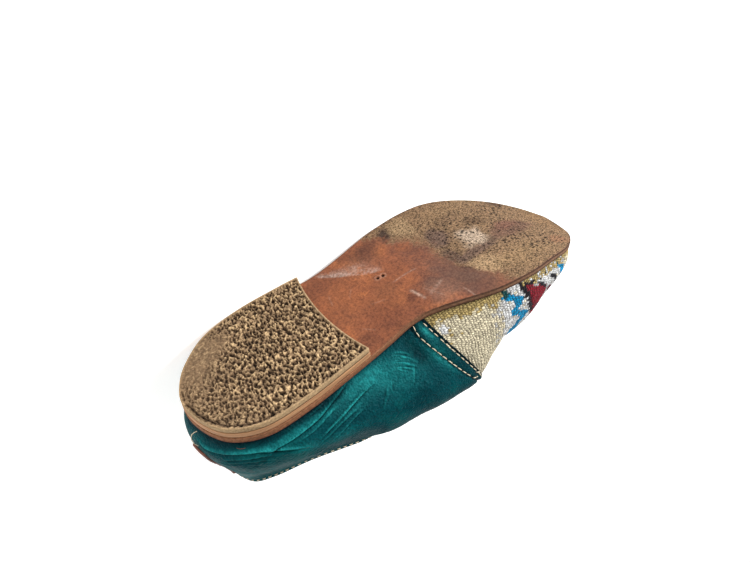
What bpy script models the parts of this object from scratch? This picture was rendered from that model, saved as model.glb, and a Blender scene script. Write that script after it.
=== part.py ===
"""Slip-on shoe of the Moroccan kind: woven vamp, leather quarters, leather sole and a low crepe heel.

It is a right shoe. It is shaped standing, with x from the heel's back to the toe, y to the big-toe side
and z up from the floor, and is then laid on its outer side, sole edge and upper both on the floor.
All sizes are in metres.
"""

import math

import bmesh
import bpy
import numpy as np
from mathutils import Matrix, Vector

MM = 0.001

# ---------------------------------------------------------------- driving sizes
SOLE_LENGTH = 260.6 * MM
OUTSOLE_THICKNESS = 4.0 * MM
HEEL_LIFT_THICKNESS = 3.2 * MM
TOP_PIECE_THICKNESS = 3.2 * MM
INSOLE_THICKNESS = 2.4 * MM
UPPER_WALL = 2.0 * MM
BAND_WALL = 1.2 * MM
GAP = 0.3 * MM

HEEL_HEIGHT = HEEL_LIFT_THICKNESS + TOP_PIECE_THICKNESS + 2 * GAP
HEEL_BREAST_X = 91 * MM
HEEL_BREAST_HOLLOW = 5 * MM
BALL_BACK_X = 152 * MM
BALL_FRONT_X = 184 * MM
TOE_SPRING = 19.1 * MM
TOE_SPRING_POWER = 1.7

FEATHER_INSET = 2.2 * MM
INSOLE_INSET = 4.8 * MM

# How it lies: the sole's long axis swings and the whole shoe leans until it rests on its outer side.
REST_SWING = 3.55
REST_LEAN = 4.2

LOOP_POINTS = 100
FINE_LOOP = 400
WALL_ROWS = 13
UP = np.array([0.0, 0.0, 1.0])
AHEAD = np.array([1.0, 0.0, 0.0])

# ---------------------------------------------------------------- tables, in millimetres
# The sole's edge: how far it lies from the long axis on the big-toe side and on the outer side.
SOLE_COLUMNS = ("x", "inner", "outer")
SOLE_STATIONS = (
    (3.5, 15.5, 13.0),
    (12.0, 28.0, 24.5),
    (28.0, 35.6, 35.8),
    (52.0, 35.8, 41.0),
    (78.0, 33.0, 41.7),
    (103.0, 30.0, 41.5),
    (126.0, 29.2, 43.2),
    (150.0, 37.2, 46.1),
    (172.0, 44.0, 47.9),
    (195.0, 46.5, 45.2),
    (217.0, 43.8, 37.0),
    (237.0, 39.6, 25.6),
    (250.0, 32.6, 13.6),
    (257.6, 23.6, 2.6),
)
HEEL_TIP_Y = -0.5
TOE_TIP_Y = 5.3

# Places round the shoe run from 0 at the toe along the inner side to 0.5 at the heel and on to 1.
# The ridge over the toes, shared by both sides, from the toe to the throat.
RIDGE_COLUMNS = ("round", "x", "y", "z")
RIDGE_STATIONS = (
    (0.000, 256.0, 8.0, 42.0),
    (0.030, 247.5, 8.0, 46.5),
    (0.070, 226.0, 8.0, 53.5),
    (0.120, 193.0, 7.5, 62.5),
    (0.170, 162.0, 7.0, 73.0),
)

# The collar's edge, from the throat round the inner side and heel, and back on the outer side.
COLLAR_COLUMNS = ("round", "x", "y", "z")
COLLAR_STATIONS = (
    (0.170, 162.0, 7.0, 73.0),
    (0.190, 161.5, 20.0, 72.0),
    (0.210, 159.5, 33.0, 69.0),
    (0.240, 155.0, 46.0, 62.5),
    (0.265, 143.0, 50.0, 58.0),
    (0.290, 126.0, 50.0, 57.0),
    (0.320, 106.0, 48.5, 56.0),
    (0.370, 75.0, 45.0, 52.5),
    (0.420, 43.0, 38.5, 47.5),
    (0.450, 23.0, 29.5, 55.0),
    (0.470, 12.0, 20.0, 60.5),
    (0.500, 7.0, 0.0, 64.0),
    (0.530, 14.0, -17.0, 55.5),
    (0.560, 28.0, -26.0, 47.0),
    (0.600, 50.0, -33.0, 44.5),
    (0.640, 77.0, -35.5, 48.0),
    (0.690, 110.0, -36.0, 52.0),
    (0.735, 139.0, -33.0, 57.0),
    (0.760, 152.5, -27.0, 62.0),
    (0.790, 159.5, -15.0, 69.0),
    (0.810, 161.5, -5.0, 72.0),
    (0.830, 162.0, 7.0, 73.0),
)

# How the wall bends on its way up: "out" and "rise" pull its foot outwards and up,
# "reach", "ahead" and "drop" pull its top outwards, towards the toe and down.
WALL_COLUMNS = ("round", "out", "rise", "reach", "ahead", "drop")
WALL_STATIONS = (
    (0.000, 3.0, 9.0, 7.0, 0.0, 3.5),
    (0.030, 5.0, 11.0, 18.0, 0.0, 7.0),
    (0.070, 8.0, 14.0, 30.0, 0.0, 5.0),
    (0.120, 11.0, 18.0, 40.0, 6.0, 4.0),
    (0.170, 16.0, 22.0, 40.0, 18.0, 7.0),
    (0.200, 22.0, 24.0, 33.0, 10.0, 9.0),
    (0.250, 25.0, 22.0, 16.0, 0.0, 14.0),
    (0.300, 27.0, 15.0, 10.0, 0.0, 18.0),
    (0.360, 21.0, 16.0, 6.0, 0.0, 18.0),
    (0.420, 12.0, 17.0, 3.0, 0.0, 16.0),
    (0.500, 14.5, 17.0, 1.0, 0.0, 18.0),
    (0.540, 11.0, 18.5, 3.5, 0.0, 17.0),
    (0.580, 5.5, 20.0, 7.0, 0.0, 16.0),
    (0.660, 5.0, 24.0, 11.0, 0.0, 16.0),
    (0.750, 5.0, 26.0, 18.0, 0.0, 18.0),
    (0.800, 5.0, 25.0, 28.0, 12.0, 10.0),
    (0.830, 5.0, 23.0, 36.0, 18.0, 7.0),
    (0.880, 4.0, 18.0, 31.0, 6.0, 4.0),
    (0.930, 1.0, 13.0, 20.0, 0.0, 4.5),
    (0.970, 0.0, 8.0, 9.0, 0.0, 5.0),
    (1.000, 3.0, 9.0, 7.0, 0.0, 3.5),
)

# The strips that stand proud of the upper, as places on its wall.
BAND_BEND = 2.3
BAND_INNER = {"front_foot": 0.2587, "front_top": 0.2255, "width": 0.0165, "low": 0.04, "high": 0.985}
BAND_OUTER = {"front_foot": 0.757, "front_top": 0.757, "width": -0.015, "low": 0.04, "high": 0.985}
BACK_STRIP = {"front_foot": 0.490, "front_top": 0.490, "width": 0.013, "low": 0.35, "high": 0.985}


# ---------------------------------------------------------------- curves
def column(rows, names, name):
    """One named column of a table."""
    return np.array([row[names.index(name)] for row in rows], float)


def smooth_path(points, count, closed=False):
    """Points evenly spaced along a Catmull-Rom curve through the given ones."""
    points = np.asarray(points, float)
    if closed:
        padded = np.vstack([points[-1:], points, points[:2]])
    else:
        first = 2 * points[0] - points[1]
        last = 2 * points[-1] - points[-2]
        padded = np.vstack([first, points, last])
    fine = []
    for p0, p1, p2, p3 in zip(padded, padded[1:], padded[2:], padded[3:]):
        t = np.linspace(0.0, 1.0, 24, endpoint=False)[:, None]
        fine.append(
            0.5
            * (
                2 * p1
                + (p2 - p0) * t
                + (2 * p0 - 5 * p1 + 4 * p2 - p3) * t**2
                + (3 * p1 - p0 - 3 * p2 + p3) * t**3
            )
        )
    end = points[:1] if closed else points[-1:]
    fine = np.vstack(fine + [end])
    run = np.r_[0.0, np.cumsum(np.linalg.norm(np.diff(fine, axis=0), axis=1))]
    wanted = np.linspace(0.0, run[-1], count, endpoint=not closed)
    return np.column_stack([np.interp(wanted, run, axis) for axis in fine.T])


def smooth_column(at, rows, names, name):
    """A table's column read smoothly at any place round the shoe."""
    where = column(rows, names, names[0])
    value = column(rows, names, name)
    path = smooth_path(np.column_stack([where * 600.0, value]), 800)
    return np.interp(at * 600.0, path[:, 0], path[:, 1])


def sole_outline(count=LOOP_POINTS):
    """The outsole's edge seen from above, from the toe round the inner side and the heel."""
    x = column(SOLE_STATIONS, SOLE_COLUMNS, "x")
    inner = np.column_stack([x, column(SOLE_STATIONS, SOLE_COLUMNS, "inner")])
    outer = np.column_stack([x, -column(SOLE_STATIONS, SOLE_COLUMNS, "outer")])
    toe = [[SOLE_LENGTH / MM, TOE_TIP_Y]]
    heel = [[0.0, HEEL_TIP_Y]]
    return smooth_path(np.vstack([toe, inner[::-1], heel, outer]), count, closed=True) * MM


def outward(loop):
    """The level unit normals of a closed loop that runs anticlockwise seen from above."""
    along = np.roll(loop, -1, axis=0) - np.roll(loop, 1, axis=0)
    normal = np.column_stack([along[:, 1], -along[:, 0]])
    return normal / np.linalg.norm(normal, axis=1)[:, None]


def inset(loop, distance):
    return loop - outward(loop) * distance


def under_sole_z(x):
    """Height of the outsole's underside: level at the heel seat and the ball, rising to the toe."""
    fall = np.clip((x - HEEL_BREAST_X) / (BALL_BACK_X - HEEL_BREAST_X), 0.0, 1.0)
    fall = fall * fall * (3.0 - 2.0 * fall)
    rise = np.clip((x - BALL_FRONT_X) / (SOLE_LENGTH - BALL_FRONT_X), 0.0, None)
    return HEEL_HEIGHT * (1.0 - fall) + TOE_SPRING * rise**TOE_SPRING_POWER


# ---------------------------------------------------------------- the upper's surface
def crown_points(around):
    """Where each wall column ends: on the toe ridge, or on the collar's edge behind the throat."""
    folded = np.minimum(around, 1.0 - around)
    throat = RIDGE_STATIONS[-1][0]
    crown = []
    for axis in "xyz":
        ridge = smooth_column(folded, RIDGE_STATIONS, RIDGE_COLUMNS, axis)
        collar = smooth_column(around, COLLAR_STATIONS, COLLAR_COLUMNS, axis)
        crown.append(np.where(folded <= throat, ridge, collar))
    return np.stack(crown, axis=-1) * MM


def wall_points(around, height):
    """Points of the upper's outside at places round the shoe and heights from 0 (sole) to 1 (top).

    Each column of the wall is a cubic curve from the sole's edge to the ridge or the collar.
    """
    loop = sole_outline(FINE_LOOP)
    edge = inset(loop, FEATHER_INSET)
    side = outward(edge)
    turn = np.linspace(0.0, 1.0, FINE_LOOP + 1)
    foot_xy = [np.interp(around % 1.0, turn, np.append(edge[:, k], edge[0, k])) for k in (0, 1)]
    out_xy = [np.interp(around % 1.0, turn, np.append(side[:, k], side[0, k])) for k in (0, 1)]
    level = np.zeros_like(foot_xy[0])
    foot = np.stack([*foot_xy, under_sole_z(foot_xy[0]) + OUTSOLE_THICKNESS + GAP], axis=-1)
    out = np.stack([*out_xy, level], axis=-1)
    crown = crown_points(around % 1.0)
    pull = {
        name: smooth_column(around % 1.0, WALL_STATIONS, WALL_COLUMNS, name)[..., None] * MM
        for name in WALL_COLUMNS[1:]
    }
    low = foot + out * pull["out"] + UP * pull["rise"]
    high = crown + out * pull["reach"] + AHEAD * pull["ahead"] - UP * pull["drop"]
    t = height[..., None]
    return (
        foot * (1 - t) ** 3
        + 3 * low * t * (1 - t) ** 2
        + 3 * high * t**2 * (1 - t)
        + crown * t**3
    )


def wall_normals(around, height):
    """Unit normals of the upper's outside, pointing outwards."""
    step = 0.002
    along = wall_points(around + step, height) - wall_points(around - step, height)
    above = np.minimum(height + 0.01, 1.0)
    below = np.maximum(height - 0.01, 0.0)
    upward = wall_points(around, above) - wall_points(around, below)
    normal = np.cross(along, upward)
    return normal / np.linalg.norm(normal, axis=-1)[..., None]


def upper_grid():
    around, height = np.meshgrid(
        np.arange(LOOP_POINTS) / LOOP_POINTS, np.linspace(0.0, 1.0, WALL_ROWS), indexing="ij"
    )
    return wall_points(around, height)


def strip_grid(front_foot, front_top, width, low, high, across=5, rows=WALL_ROWS):
    """A strip of the upper's outside, lifted by a gap and the strip's own thickness.

    Its front edge curves from front_foot to front_top; width is measured round the shoe.
    """
    share, height = np.meshgrid(np.linspace(0.0, 1.0, across), np.linspace(low, high, rows), indexing="ij")
    front = front_top + (front_foot - front_top) * (1.0 - height) ** BAND_BEND
    around = front + width * share
    return wall_points(around, height) + wall_normals(around, height) * (GAP + BAND_WALL)


# ---------------------------------------------------------------- Blender helpers
def clear_scene():
    for obj in list(bpy.data.objects):
        bpy.data.objects.remove(obj)


def material(name, colour, roughness):
    made = bpy.data.materials.new(name)
    made.use_nodes = True
    shader = made.node_tree.nodes["Principled BSDF"]
    shader.inputs["Base Color"].default_value = (*colour, 1.0)
    shader.inputs["Roughness"].default_value = roughness
    shader.inputs["Metallic"].default_value = 0.0
    return made


def add_object(name, mesh, collection, finish):
    obj = bpy.data.objects.new(name, mesh)
    obj.data.materials.append(finish)
    collection.objects.link(obj)
    return obj


def solidify(obj, thickness):
    """Gives a surface its thickness on the inner side of its normals."""
    modifier = obj.modifiers.new("wall", "SOLIDIFY")
    modifier.thickness = thickness
    modifier.offset = -1.0
    return modifier


def grid_mesh(name, grid, closed=False):
    """A mesh of quads over a grid of points, welded where columns meet, normals out."""
    columns, rows = grid.shape[:2]
    bm = bmesh.new()
    verts = [[bm.verts.new(Vector(point)) for point in line] for line in grid]
    for i in range(columns if closed else columns - 1):
        j = (i + 1) % columns
        for k in range(rows - 1):
            bm.faces.new((verts[i][k], verts[j][k], verts[j][k + 1], verts[i][k + 1]))
    bmesh.ops.remove_doubles(bm, verts=bm.verts, dist=0.00002)
    mesh = bpy.data.meshes.new(name)
    bm.to_mesh(mesh)
    bm.free()
    mesh.shade_smooth()
    return mesh


def slab_mesh(name, loop, thickness, under_z, stations):
    """A sheet of even thickness cut to a closed loop and bent along x to a height function."""
    bm = bmesh.new()
    face = bm.faces.new([bm.verts.new((x, y, 0.0)) for x, y in loop])
    made = bmesh.ops.extrude_face_region(bm, geom=[face])["geom"]
    top = [v for v in made if isinstance(v, bmesh.types.BMVert)]
    bmesh.ops.translate(bm, verts=top, vec=(0.0, 0.0, thickness))
    for x in stations:
        everything = bm.verts[:] + bm.edges[:] + bm.faces[:]
        bmesh.ops.bisect_plane(bm, geom=everything, dist=0.0003, plane_co=(x, 0, 0), plane_no=(1, 0, 0))
    for vert in bm.verts:
        vert.co.z += float(under_z(vert.co.x))
    bmesh.ops.recalc_face_normals(bm, faces=bm.faces)
    mesh = bpy.data.meshes.new(name)
    bm.to_mesh(mesh)
    bm.free()
    return mesh


def round_edges(obj, width, segments=2):
    modifier = obj.modifiers.new("rounded edges", "BEVEL")
    modifier.width = width
    modifier.segments = segments
    modifier.limit_method = "ANGLE"
    modifier.angle_limit = math.radians(50.0)
    return modifier


def heel_outline(distance):
    """The heel's edge: the sole's own edge behind the breast, closed by the breast's hollow arc."""
    loop = inset(sole_outline(), distance)
    back = loop[loop[:, 0] < HEEL_BREAST_X]
    start = np.array([HEEL_BREAST_X, back[-1, 1]])
    end = np.array([HEEL_BREAST_X, back[0, 1]])
    t = np.linspace(0.0, 1.0, 12)[:, None]
    arc = start + (end - start) * t
    arc[:, :1] -= HEEL_BREAST_HOLLOW * 4.0 * t * (1.0 - t)
    return np.vstack([back, arc])


def make_sole(collection, finishes):
    bend = np.arange(HEEL_BREAST_X - 0.004, SOLE_LENGTH, 0.0085)

    def over_sole(x):
        return under_sole_z(x) + OUTSOLE_THICKNESS + GAP

    outsole = add_object(
        "outsole",
        slab_mesh("outsole", sole_outline(), OUTSOLE_THICKNESS, under_sole_z, bend),
        collection,
        finishes["sole leather"],
    )
    round_edges(outsole, 0.7 * MM)
    insole = add_object(
        "insole",
        slab_mesh("insole", inset(sole_outline(), INSOLE_INSET), INSOLE_THICKNESS, over_sole, bend),
        collection,
        finishes["lining leather"],
    )
    round_edges(insole, 0.5 * MM, 1)
    lift = add_object(
        "heel_lift",
        slab_mesh(
            "heel_lift",
            heel_outline(0.3 * MM),
            HEEL_LIFT_THICKNESS,
            lambda x: TOP_PIECE_THICKNESS + GAP,
            (),
        ),
        collection,
        finishes["lift leather"],
    )
    round_edges(lift, 0.4 * MM, 1)
    top_piece = add_object(
        "heel_top_piece",
        slab_mesh("heel_top_piece", heel_outline(0.6 * MM), TOP_PIECE_THICKNESS, lambda x: 0.0, ()),
        collection,
        finishes["crepe rubber"],
    )
    round_edges(top_piece, 0.7 * MM)
    return [outsole, insole, lift, top_piece]


def make_upper(collection, finishes):
    green = finishes["green leather"]
    shell = grid_mesh("upper", upper_grid(), closed=True)
    upper = add_object("upper", shell, collection, green)
    solidify(upper, UPPER_WALL)
    pieces = [upper]
    for name, strip, finish in (
        ("quarter_band_inner", BAND_INNER, green),
        ("quarter_band_outer", BAND_OUTER, green),
        ("back_seam_strip", BACK_STRIP, finishes["lift leather"]),
    ):
        piece = add_object(name, grid_mesh(name, strip_grid(**strip)), collection, finish)
        solidify(piece, BAND_WALL)
        round_edges(piece, 0.35 * MM, 1)
        pieces.append(piece)
    return pieces


def lay_on_side(collection):
    """Turns the shoe onto its outer side and centres it on the floor.

    The two rest angles bring the sole's outer edge and the upper's outer wall down together.
    """
    upright = Matrix.Rotation(math.radians(90.0 - REST_LEAN), 4, "X")
    turn = upright @ Matrix.Rotation(math.radians(REST_SWING), 4, "Z")
    for obj in collection.objects:
        obj.data.transform(turn)
    bpy.context.view_layer.update()
    depsgraph = bpy.context.evaluated_depsgraph_get()
    low = np.full(3, np.inf)
    high = -low
    for obj in collection.objects:
        made = obj.evaluated_get(depsgraph).to_mesh()
        points = np.array([v.co for v in made.vertices])
        low = np.minimum(low, points.min(axis=0))
        high = np.maximum(high, points.max(axis=0))
    middle = (low + high) / 2
    shift = Matrix.Translation((-middle[0], -middle[1], -low[2]))
    for obj in collection.objects:
        obj.data.transform(shift)


def main():
    clear_scene()
    shoe = bpy.data.collections.new("slip_on_shoe")
    bpy.context.scene.collection.children.link(shoe)
    finishes = {
        "sole leather": material("sole leather", (0.30, 0.13, 0.06), 0.6),
        "lift leather": material("lift leather", (0.42, 0.22, 0.12), 0.6),
        "crepe rubber": material("crepe rubber", (0.30, 0.21, 0.12), 0.8),
        "lining leather": material("lining leather", (0.45, 0.28, 0.16), 0.6),
        "green leather": material("green leather", (0.01, 0.13, 0.13), 0.4),
    }
    make_sole(shoe, finishes)
    make_upper(shoe, finishes)
    lay_on_side(shoe)


main()
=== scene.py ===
# %% [markdown]
# # A worn right-foot slip-on, woven vamp and green leather
#
# The real shoe is made in this order: a leather outsole is cut, a leather lift and a crepe rubber top
# piece are glued under the heel, the woven vamp and the green leather quarters are sewn together, turned
# over a last and glued down between insole and outsole. This lesson follows the same order backwards, from
# the shape of the upper to the dirt on the sole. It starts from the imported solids, which fix every size.

import math

import bpy
import numpy as np
from mathutils import Matrix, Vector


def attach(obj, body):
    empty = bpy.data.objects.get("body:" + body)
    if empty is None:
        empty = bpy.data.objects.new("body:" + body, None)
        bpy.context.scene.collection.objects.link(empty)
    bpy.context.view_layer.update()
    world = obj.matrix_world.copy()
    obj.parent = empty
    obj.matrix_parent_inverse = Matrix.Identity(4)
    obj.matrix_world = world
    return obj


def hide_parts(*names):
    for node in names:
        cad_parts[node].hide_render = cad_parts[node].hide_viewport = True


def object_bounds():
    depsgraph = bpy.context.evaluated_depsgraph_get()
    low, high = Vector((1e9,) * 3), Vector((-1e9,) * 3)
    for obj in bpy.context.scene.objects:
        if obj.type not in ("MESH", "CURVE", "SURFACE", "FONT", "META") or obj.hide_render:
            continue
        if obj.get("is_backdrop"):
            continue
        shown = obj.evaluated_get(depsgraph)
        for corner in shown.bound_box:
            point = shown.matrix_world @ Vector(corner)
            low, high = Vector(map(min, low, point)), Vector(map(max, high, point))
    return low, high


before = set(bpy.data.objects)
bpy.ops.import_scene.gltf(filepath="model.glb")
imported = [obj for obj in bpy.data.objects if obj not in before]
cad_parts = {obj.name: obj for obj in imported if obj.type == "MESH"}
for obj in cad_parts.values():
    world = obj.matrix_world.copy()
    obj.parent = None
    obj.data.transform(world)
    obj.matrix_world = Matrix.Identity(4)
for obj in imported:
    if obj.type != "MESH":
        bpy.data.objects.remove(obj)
cad_low, cad_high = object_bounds()
print("solids:", sorted(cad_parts), "size", [round(v, 4) for v in cad_high - cad_low])

# %% [markdown]
# ## Where the shoe stands and how it lies
#
# A shoemaker thinks of a shoe as it stands: x from the heel to the toe, y towards the big toe, z up. The
# packed shoe lies on its outer side instead, so every point made here is worked out standing, in
# millimetres, and turned once at the end. The turn's two angles are the ones the solids were laid down
# with. Where the standing origin went is read back from the solids themselves.

# %% The turn between the standing shoe and the lying one
MM = 0.001
REST_SWING = 3.55
REST_LEAN = 4.2


def rest_turn():
    """A swing about z followed by a lean about x, as one matrix."""
    swing = math.radians(REST_SWING)
    lean = math.radians(90.0 - REST_LEAN)
    about_z = np.array(
        [[math.cos(swing), -math.sin(swing), 0], [math.sin(swing), math.cos(swing), 0], [0, 0, 1]]
    )
    about_x = np.array(
        [[1, 0, 0], [0, math.cos(lean), -math.sin(lean)], [0, math.sin(lean), math.cos(lean)]]
    )
    return about_x @ about_z


def solid_points(node):
    """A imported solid's points turned back to stand, in millimetres, before its shift is taken off."""
    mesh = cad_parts[node].data
    flat = np.empty(len(mesh.vertices) * 3, np.float32)
    mesh.vertices.foreach_get("co", flat)
    return flat.reshape(-1, 3).astype(float) / MM @ TURN


TURN = rest_turn()

# %% [markdown]
# ## The last, as functions
#
# The upper is pulled over a last, a wooden foot. Its shape here is a loop for the sole's edge and, at each
# place round that loop, one cubic curve that climbs the wall to the ridge over the toes or to the collar.
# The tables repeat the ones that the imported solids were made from, so most of the fine surfaces made below
# start on the solids. Three things differ on purpose. Two rows of the wall, just past the back of the heel,
# bulge about two millimetres further. The collar's top is swollen and rolled in by about two millimetres,
# as worn leather is. The back strip starts two millimetres nearer the inner side and is a little wider.

# %% Sizes and tables of the last, in millimetres
SOLE_LENGTH = 260.6
OUTSOLE_THICKNESS = 4.0
HEEL_LIFT_THICKNESS = 3.2
TOP_PIECE_THICKNESS = 3.2
UPPER_WALL = 2.0
GAP = 0.3
HEEL_HEIGHT = HEEL_LIFT_THICKNESS + TOP_PIECE_THICKNESS + 2 * GAP
HEEL_BREAST_X = 91.0
HEEL_BREAST_HOLLOW = 5.0
BALL_BACK_X = 152.0
BALL_FRONT_X = 184.0
TOE_SPRING = 19.1
TOE_SPRING_POWER = 1.7
FEATHER_INSET = 2.2
HEEL_TIP_Y = -0.5
TOE_TIP_Y = 5.3

SOLE_STATIONS = (  # x, inner, outer
    (3.5, 15.5, 13.0), (12.0, 28.0, 24.5), (28.0, 35.6, 35.8), (52.0, 35.8, 41.0), (78.0, 33.0, 41.7),
    (103.0, 30.0, 41.5), (126.0, 29.2, 43.2), (150.0, 37.2, 46.1), (172.0, 44.0, 47.9), (195.0, 46.5, 45.2),
    (217.0, 43.8, 37.0), (237.0, 39.6, 25.6), (250.0, 32.6, 13.6), (257.6, 23.6, 2.6),
)
RIDGE_STATIONS = (  # round, x, y, z
    (0.000, 256.0, 8.0, 42.0), (0.030, 247.5, 8.0, 46.5), (0.070, 226.0, 8.0, 53.5),
    (0.120, 193.0, 7.5, 62.5), (0.170, 162.0, 7.0, 73.0),
)
COLLAR_STATIONS = (  # round, x, y, z
    (0.170, 162.0, 7.0, 73.0), (0.190, 161.5, 20.0, 72.0), (0.210, 159.5, 33.0, 69.0),
    (0.240, 155.0, 46.0, 62.5), (0.265, 143.0, 50.0, 58.0), (0.290, 126.0, 50.0, 57.0),
    (0.320, 106.0, 48.5, 56.0), (0.370, 75.0, 45.0, 52.5), (0.420, 43.0, 38.5, 47.5),
    (0.450, 23.0, 29.5, 55.0), (0.470, 12.0, 20.0, 60.5), (0.500, 7.0, 0.0, 64.0),
    (0.530, 14.0, -17.0, 55.5), (0.560, 28.0, -26.0, 47.0), (0.600, 50.0, -33.0, 44.5),
    (0.640, 77.0, -35.5, 48.0), (0.690, 110.0, -36.0, 52.0), (0.735, 139.0, -33.0, 57.0),
    (0.760, 152.5, -27.0, 62.0), (0.790, 159.5, -15.0, 69.0), (0.810, 161.5, -5.0, 72.0),
    (0.830, 162.0, 7.0, 73.0),
)
WALL_STATIONS = (  # round, out, rise, reach, ahead, drop
    (0.000, 3.0, 9.0, 7.0, 0.0, 3.5), (0.030, 5.0, 11.0, 18.0, 0.0, 7.0), (0.070, 8.0, 14.0, 30.0, 0.0, 5.0),
    (0.120, 11.0, 18.0, 40.0, 6.0, 4.0), (0.170, 16.0, 22.0, 40.0, 18.0, 7.0),
    (0.200, 22.0, 24.0, 33.0, 10.0, 9.0), (0.250, 25.0, 22.0, 16.0, 0.0, 14.0),
    (0.300, 27.0, 15.0, 10.0, 0.0, 18.0), (0.360, 21.0, 16.0, 6.0, 0.0, 18.0),
    (0.420, 12.0, 17.0, 3.0, 0.0, 16.0), (0.500, 14.5, 17.0, 1.0, 0.0, 18.0),
    (0.540, 15.0, 17.0, 3.5, 0.0, 17.0), (0.580, 10.0, 18.5, 7.0, 0.0, 16.0),
    (0.660, 5.0, 24.0, 11.0, 0.0, 16.0), (0.750, 5.0, 26.0, 18.0, 0.0, 18.0),
    (0.800, 5.0, 25.0, 28.0, 12.0, 10.0),
    (0.830, 5.0, 23.0, 36.0, 18.0, 7.0), (0.880, 4.0, 18.0, 31.0, 6.0, 4.0),
    (0.930, 1.0, 13.0, 20.0, 0.0, 4.5), (0.970, 0.0, 8.0, 9.0, 0.0, 5.0), (1.000, 3.0, 9.0, 7.0, 0.0, 3.5),
)
THROAT = RIDGE_STATIONS[-1][0]
BAND_INNER_FOOT, BAND_INNER_TOP, BAND_INNER_BEND = 0.2587, 0.2255, 2.3
BAND_OUTER_FRONT = 0.757
BACK_STRIP_FROM, BACK_STRIP_TO = 0.4865, 0.5015
COLLAR_BULGE, COLLAR_ROLL = 2.3, 4.4


# %% Curves of the last
def smooth_path(points, count, closed=False):
    """Points evenly spaced along a Catmull-Rom curve, which passes through all the given points."""
    points = np.asarray(points, float)
    if closed:
        padded = np.vstack([points[-1:], points, points[:2]])
    else:
        padded = np.vstack([2 * points[0] - points[1], points, 2 * points[-1] - points[-2]])
    t = np.linspace(0.0, 1.0, 24, endpoint=False)[None, :, None]
    p0, p1, p2, p3 = (padded[k:len(padded) - 3 + k, None, :] for k in range(4))
    fine = 0.5 * (
        2 * p1 + (p2 - p0) * t + (2 * p0 - 5 * p1 + 4 * p2 - p3) * t**2 + (3 * p1 - p0 - 3 * p2 + p3) * t**3
    )
    fine = np.vstack([fine.reshape(-1, points.shape[1]), points[:1] if closed else points[-1:]])
    run = np.r_[0.0, np.cumsum(np.linalg.norm(np.diff(fine, axis=0), axis=1))]
    wanted = np.linspace(0.0, run[-1], count, endpoint=not closed)
    return np.column_stack([np.interp(wanted, run, axis) for axis in fine.T])


def table_reader(rows):
    """A function that reads any column of a table smoothly, at places given by its first column."""
    table = np.array(rows, float)
    stretch = 600.0
    paths = {}
    for k in range(1, table.shape[1]):
        paths[k] = smooth_path(np.column_stack([table[:, 0] * stretch, table[:, k]]), 6000)

    def read(at, k):
        return np.interp(np.asarray(at) * stretch, paths[k][:, 0], paths[k][:, 1])

    return read


def sole_outline(count):
    """The outsole's edge seen from above, from the toe round the inner side and the heel."""
    x, inner, outer = np.array(SOLE_STATIONS).T
    ends = [[SOLE_LENGTH, TOE_TIP_Y]], [[0.0, HEEL_TIP_Y]]
    loop = np.vstack(
        [ends[0], np.column_stack([x, inner])[::-1], ends[1], np.column_stack([x, -outer])]
    )
    return smooth_path(loop, count, closed=True)


def outward(loop):
    """Unit normals of a closed flat loop that runs anticlockwise: each point's tangent, turned a quarter."""
    along = np.roll(loop, -1, axis=0) - np.roll(loop, 1, axis=0)
    normal = np.column_stack([along[:, 1], -along[:, 0]])
    return normal / np.linalg.norm(normal, axis=1)[:, None]


def smoothstep(low, high, value):
    """0 below low, 1 above high, and 3t^2 - 2t^3 between."""
    t = np.clip((value - low) / (high - low), 0.0, 1.0)
    return t * t * (3.0 - 2.0 * t)


def under_sole_z(x):
    """Height of the outsole's underside: level at heel and ball, eased between, rising to the toe."""
    rise = np.clip((x - BALL_FRONT_X) / (SOLE_LENGTH - BALL_FRONT_X), 0.0, None)
    at_heel = HEEL_HEIGHT * (1.0 - smoothstep(HEEL_BREAST_X, BALL_BACK_X, x))
    return at_heel + TOE_SPRING * rise**TOE_SPRING_POWER


OUTLINE = sole_outline(2400)
FEATHER = OUTLINE - outward(OUTLINE) * FEATHER_INSET
FEATHER_SIDE = outward(FEATHER)
TURNS = np.linspace(0.0, 1.0, len(OUTLINE) + 1)
read_ridge = table_reader(RIDGE_STATIONS)
read_collar = table_reader(COLLAR_STATIONS)
read_wall = table_reader(WALL_STATIONS)
print("sole's girth", round(float(np.linalg.norm(np.diff(OUTLINE, axis=0), axis=1).sum())), "mm")


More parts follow.
